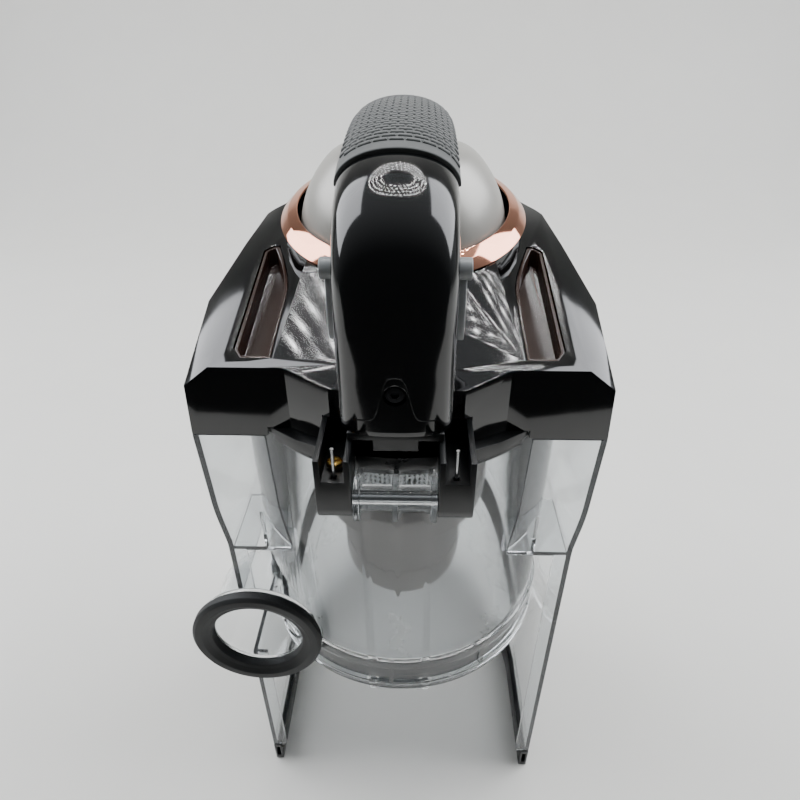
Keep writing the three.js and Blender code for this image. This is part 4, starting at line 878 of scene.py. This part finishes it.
SCREW_Z = 281.0
counterbore = turned("counterbore", [(0.01, 40), (3.85, 40), (3.85, 23.9), (1.9, 23.9), (1.9, 5), (0.01, 5)],
                     (0, 0, SCREW_Z), 48, along="Y")
without(outer_half, counterbore)
softened(outer_half, 0.25, 2, 40)
softened(inner_half, 0.25, 2, 40)
fitted(outer_half, "handle_front_half", gloss_abs, "lid", "gloss_black", "handle_outer_shell", sharp=35)
fitted(inner_half, "handle_back_half", gloss_abs, "lid", "gloss_black", "handle_inner_shell", sharp=35)

# A fine raised bead frames the screw: it climbs from the parting corners to an arch over the recess.
bead_line = []
for k in range(41):
    t = k / 40
    bead_x = -13.5 + 27 * t
    arch = 15.2 * math.exp(-((bead_x / 5.2) ** 4)) + 2.5 * math.exp(-(bead_x / 9) ** 2)
    bead_line.append((bead_x, 270.5 + arch))


def face_depth(x):
    """How far the handle's front face stands out of its centre line, at a distance across."""
    return HANDLE_T * max(1 - (min(abs(x), HANDLE_W) / HANDLE_W) ** (2 / SQUARISH), 0) ** (SQUARISH / 2)


bead_rings = []
for bead_x, bead_z in bead_line:
    share = (bead_z - FOOT_Z) / SPINE_LENGTH
    ring = []
    for k in range(8):
        a = 2 * math.pi * k / 8
        ring.append(on_handle(share + 0.4 * math.sin(a) / SPINE_LENGTH, bead_x,
                              face_depth(bead_x) - 0.05 + 0.35 * math.cos(a)))
    bead_rings.append(ring)
bead = skinned("bead", bead_rings)
fitted(bead, "handle_screw_bead", gloss_abs, "lid", "gloss_black", sharp=60)

# ---------------------------------------------------------------- grip
# Grey-black elastomer pad let into the top of the handle, covered with rows of small raised bricks
# inside a plain border, so that a wet hand doesn't slip.

# Thermoplastic elastomer: matt, warm grey in raking light, slightly worn on the bricks' tops.
elastomer = moulded("grey_grip_elastomer", "#3d403f", 0.55, 0.25, 0.02, IOR=1.5, Sheen_Weight=0.25,
                    Sheen_Roughness=0.5)
grip_pad = swept("grip_pad", grip_section(0.0), GRIP_FROM, GRIP_TO, 90)
softened(grip_pad, 0.4, 2, 40)
fitted(grip_pad, "grip_pad", elastomer, "lid", "grip_rubber", "handle_grip", sharp=50)

BRICK_LONG, BRICK_TALL, BRICK_PROUD = 4.4, 1.75, 0.45
ROW_PITCH, BRICK_PITCH = 2.35, 5.1
BORDER = 4.5
arc = bar_section(HANDLE_W + 0.7, HANDLE_T + 0.7, math.radians(8), math.radians(172), 400, OVAL)
arc_lengths = [0.0]
for a, b in zip(arc, arc[1:]):
    arc_lengths.append(arc_lengths[-1] + math.dist(a, b))


def on_grip(share, along_arc, proud_by):
    """A point on the grip's surface: a share of the handle's length and a way round its section."""
    target = min(max(along_arc, 0), arc_lengths[-1] - 1e-6)
    low, high = 0, len(arc_lengths) - 1
    while high - low > 1:
        k = (low + high) // 2
        low, high = (k, high) if arc_lengths[k] <= target else (low, k)
    t = (target - arc_lengths[low]) / (arc_lengths[high] - arc_lengths[low])
    x = arc[low][0] + (arc[high][0] - arc[low][0]) * t
    d = arc[low][1] + (arc[high][1] - arc[low][1]) * t
    tangent = Vector((arc[high][0] - arc[low][0], arc[high][1] - arc[low][1])).normalized()
    normal = Vector((tangent.y, -tangent.x))
    return on_handle(share, x + normal.x * proud_by, d + GRIP_LIFT + normal.y * proud_by)


rows = int(((GRIP_TO - GRIP_FROM) * SPINE_LENGTH - 2 * BORDER) / ROW_PITCH)
spots = []
for row in range(rows):
    share = GRIP_FROM + (BORDER + ROW_PITCH * (row + 0.5)) / SPINE_LENGTH
    middle = 2.0 + BRICK_PITCH / 2 * (row % 2) + BRICK_LONG / 2
    while middle + BRICK_LONG / 2 < arc_lengths[-1] - 2.0:
        here = on_grip(share, middle, 0)
        facing = (on_grip(share, middle, 1) - here).normalized()
        run = (on_grip(share, middle + 0.5, 0) - on_grip(share, middle - 0.5, 0)).normalized()
        spots.append((here, facing, run))
        middle += BRICK_PITCH
brick_layers = []
for inset, height in ((0.0, -0.3), (0.0, 0.2), (0.3, BRICK_PROUD)):
    u, v = BRICK_LONG / 2 - inset, BRICK_TALL / 2 - inset
    brick_layers.append([(-u, -v, height), (u, -v, height), (u, v, height), (-u, v, height)])
bricks = repeated(places("bricks", spots), slab("brick", brick_layers), elastomer)
fitted(bricks, "grip_bricks", elastomer, "lid", "grip_rubber", sharp=30)

# ---------------------------------------------------------------- release tabs and handle screw
# Light grey tabs that stand out of the handle's sides, moulded in acetal, and the black pan-head
# screw with a hexagon socket that holds the handle's foot.

acetal = moulded("grey_acetal", "#8b8e8f", 0.28, 0.8, 0.015, IOR=1.48)
for side, word in ((-1, "left"), (1, "right")):
    tab = tab_form("tab", side, 0.0, 0.0)
    softened(tab, 0.8, 3, 40)
    fitted(tab, "handle_tab_" + word, acetal, "release_tab_" + word, "grey_plastic", "release_tab_" + word,
           sharp=50)

# Blackened steel: dark oxide with a dull metallic glint on its edges.
black_oxide = moulded("black_oxide_steel", "#1c1d1f", 0.34, 0.4, 0.01, Metallic=0.85)
screw_profile = rounded([(0.01, 25.2), (3.1, 25.2), (3.1, 24.2), (1.6, 24.2), (1.6, 6.0), (0.01, 6.0)],
                        0.4, 3)
screw = turned("screw", screw_profile, (0, 0, SCREW_Z), 48, along="Y")
SOCKET_R = 1.45
corners = [(SOCKET_R * math.cos(k * math.pi / 3), SCREW_Z + SOCKET_R * math.sin(k * math.pi / 3))
           for k in range(6)]
socket = skinned("socket", [[at(x, y, z) for x, z in corners] for y in (-26, -24.45)])
without(screw, socket)
fitted(screw, "handle_socket_screw", black_oxide, "lid", "satin_black", "handle_screw", sharp=35)

# ---------------------------------------------------------------- copper collar and dome
# Rose-copper plated ring, a conical saucer with a bright rolled rim, tilted back under the pearl grey
# dome that crowns the hood. Both are notched for the handle.

COLLAR_R, COLLAR_IN, COLLAR_UP, COLLAR_THICK = 53.7, 45.8, 5.5, 1.4
COLLAR_Y, COLLAR_Z, COLLAR_TILT = 82.0, 307.9, math.radians(12)
DOME_R, DOME_Z, DOME_TOP = 45.2, 300.0, 337.0


def handle_room():
    """The room that the handle takes up, with its clearance."""
    def whole_bar(power):
        return bar_section(HANDLE_W + 0.6, HANDLE_T + 0.6, 0, 2 * math.pi, 72, power)[:-1]
    return swept("handle_room", whole_bar, -0.006, 1.012, 110)


# Chrome plate tinted rose: a full mirror, with only hair-thin wiping marks.
rose_plate = moulded("rose_copper_plate", "#e8a78c", 0.05, 14.0, 0.02, drift=0.5, Metallic=1.0)
collar_profile = rounded([(COLLAR_R, 0.0), (50.2, 3.5), (COLLAR_IN, COLLAR_UP),
                          (COLLAR_IN, COLLAR_UP - COLLAR_THICK), (49.6, 2.1), (COLLAR_R - 0.9, -0.5)], 0.5, 3)
collar = turned("collar", collar_profile, (0, COLLAR_Y, COLLAR_Z), 160, lean=COLLAR_TILT)
without(collar, handle_room())
fitted(collar, "copper_ring", rose_plate, "lid", "copper_chrome", "copper_collar", sharp=40)

# Satin pearl lacquer: a fine metallic flake under a soft clear coat.
pearl = moulded("pearl_grey_lacquer", "#a5a39d", 0.33, 0.35, 0.01, IOR=1.5, Metallic=0.35, Coat_Weight=0.2,
                Coat_Roughness=0.25)
dome_line = []
for k in range(29):
    a = math.radians(-8) + (math.pi / 2 + math.radians(8)) * k / 28
    r, z = DOME_R * math.cos(a), DOME_R * math.sin(a)
    crown = DOME_TOP - DOME_Z
    z = z if z < crown - 6 else crown - 6 + 6 * math.tanh((z - crown + 6) / 6.0)
    dome_line.append((max(r, 0.01), DOME_Z + z))
DOME_WALL = 2.2
inner_line = [(max(r - DOME_WALL * min(1, r / 20), 0.01), z - DOME_WALL * (z - DOME_Z + 10) / 50)
              for r, z in dome_line][::-1]
cover = turned("cover", dome_line + inner_line, (0, COLLAR_Y, 0), 128)
slope = math.tan(COLLAR_TILT)
seat = [(-60, COLLAR_Z + slope * (-60 - COLLAR_Y) + 0.3), (200, COLLAR_Z + slope * (200 - COLLAR_Y) + 0.3)]
below = skinned("below", [[at(x, -60, 200), at(x, 200, 200), at(x, seat[1][0], seat[1][1]),
                           at(x, seat[0][0], seat[0][1])] for x in (-120, 120)])
without(cover, below, handle_room())
fitted(cover, "pearl_dome", pearl, "lid", "pearl_grey", "dome", sharp=40)

# ---------------------------------------------------------------- springs, pins and ear screw
# Bright steel wire springs round the lid's hinge pin inside the ears, with a leg up each channel, the
# ground steel pins, and the small brass screw in the left ear.

# Zinc-plated steel: pale, bright, with a fine drawn grain.
zinc_steel = moulded("zinc_plated_steel", "#c9cacb", 0.22, 0.3, 0.008, Metallic=1.0)
bright_brass = moulded("turned_brass", "#b8934a", 0.24, 0.3, 0.008, Metallic=1.0)
COIL_R, WIRE_R = 3.8, 0.65
EAR_TOP = 261.0


def wire(name, path, radius, sides=10):
    """A round wire along a path of design points."""
    rings = []
    up = Vector((0.3, 0.2, 0.93))
    for i, point in enumerate(path):
        way = (Vector(path[min(i + 1, len(path) - 1)]) - Vector(path[max(i - 1, 0)])).normalized()
        side_way = way.cross(up).normalized()
        up = side_way.cross(way).normalized()
        ring = []
        for k in range(sides):
            a = 2 * math.pi * k / sides
            p = Vector(point) + (side_way * math.cos(a) + up * math.sin(a)) * radius
            ring.append(at(p.x, p.y, p.z))
        rings.append(ring)
    return skinned(name, rings)


COIL_TURNS = 4
for side, word in ((-1, "left"), (1, "right")):
    centre_r = COIL_R - WIRE_R
    leg = [(20.6, HINGE_Y - centre_r, z) for z in (EAR_TOP + 2.8, EAR_TOP - 4, HINGE_Z + 6)]
    coil = []
    for k in range(COIL_TURNS * 20 + 1):
        a = math.pi + 2 * math.pi * k / 20
        x = 20.6 + (k / 20 - 0.2) * 0.68 * 1.02
        coil.append((min(x, 23.0), HINGE_Y + centre_r * math.cos(a), HINGE_Z + centre_r * math.sin(a)))
    path = [(side * x, y, z) for x, y, z in leg + coil]
    spring = wire("spring", path, WIRE_R * 0.95)
    fitted(spring, "lid_wire_spring_" + word, zinc_steel, "lid", "steel", "lid_spring_" + word, sharp=60)


def pin(name, node, body, r, reach, y, z):
    """A ground pin along X with chamfered ends."""
    profile = [(0.01, -reach), (r - 0.3, -reach), (r, -reach + 0.4), (r, reach - 0.4), (r - 0.3, reach),
               (0.01, reach)]
    made = turned("pin", profile, (0, y, z), 32, along="X")
    return fitted(made, name, zinc_steel, body, "steel", node, sharp=35)


pin("hinge_rod", "lid_hinge_pin", "lid", PIN_R, 24.8, HINGE_Y, HINGE_Z)
pin("door_rod", "door_hinge_pin", "dust_cup", PIN_R, 14.4, DOOR_HINGE_Y, DOOR_HINGE_Z)
pin("lid_latch_rod", "lid_latch_pin", "lid", 1.0, 9.6, 142.6, 256.0)
pin("door_latch_rod", "door_latch_pin", "dust_cup", 1.0, 8.6, 137.2, 112.0)

screw_low, screw_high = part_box("ear_screw")
screw_x = (screw_low[0] + screw_high[0]) / 2 / MM - MIDDLE_X / MM
screw_y = (screw_low[1] + screw_high[1]) / 2 / MM - FRONT_Y / MM
screw_z0, screw_z1 = screw_low[2] / MM, screw_high[2] / MM
ear_profile = rounded([(0.01, screw_z0), (2.75, screw_z0), (2.75, screw_z1 - 0.2), (0.01, screw_z1)], 0.7, 3)
ear_screw = turned("ear_screw", ear_profile, (screw_x, screw_y, 0), 40)
slot = block("slot", (screw_x - 3, screw_x + 3), (screw_y - 0.35, screw_y + 0.35),
             (screw_z1 - 1, screw_z1 + 1))
without(ear_screw, slot)
fitted(ear_screw, "ear_slot_screw", bright_brass, "lid", "brass", "ear_screw", sharp=35)

# ---------------------------------------------------------------- latches and push rod behind
# The lid's thumb lever, the door's lever and the grey rod that pushes it, all plain mouldings with
# softened edges.

lever = refined("lid_latch", 0.5)
fitted(lever, "lid_latch_lever", satin_abs, "lid_latch", "satin_black", "lid_latch", sharp=28)
thumb_spots = [(at(0, 145.55, 262.5 + 2.2 * k), Vector((0, 1, 0)), Vector((1, 0, 0))) for k in range(4)]
round_bar = [[(x, 0.55 * math.cos(math.pi * k / 6), 0.55 * math.sin(math.pi * k / 6)) for k in range(12)]
             for x in (-5.5, 5.5)]
thumb_ribs = repeated(places("thumb_ribs", thumb_spots), slab("thumb_rib", round_bar), satin_abs)
fitted(thumb_ribs, "latch_thumb_ribs", satin_abs, "lid_latch", "satin_black", sharp=50)
door_lever = refined("door_latch", 0.4)
fitted(door_lever, "door_latch_lever", satin_abs, "door_latch", "satin_black", "door_latch", sharp=28)
rod = refined("door_push_rod", 0.7)
fitted(rod, "push_rod", acetal, "door_push_rod", "grey_plastic", "door_push_rod", sharp=28)

# ---------------------------------------------------------------- what the lid and cup hide
# The vortex tube, the lid's seal and the two filters sit out of sight; they keep the CAD shape, with
# the surface of the real material.

foam = moulded("open_cell_foam", "#3c4c69", 0.95, 0.9, 0.35, IOR=1.4)
felt = moulded("needled_felt", "#e6e3db", 0.95, 0.35, 0.2, IOR=1.4, Sheen_Weight=0.3)
hidden = {"vortex_tube": acetal, "lid_gasket": epdm, "foam_filter": foam, "felt_filter": felt}
for node, material in hidden.items():
    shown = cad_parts[node]
    shown.data.materials.clear()
    shown.data.materials.append(material)
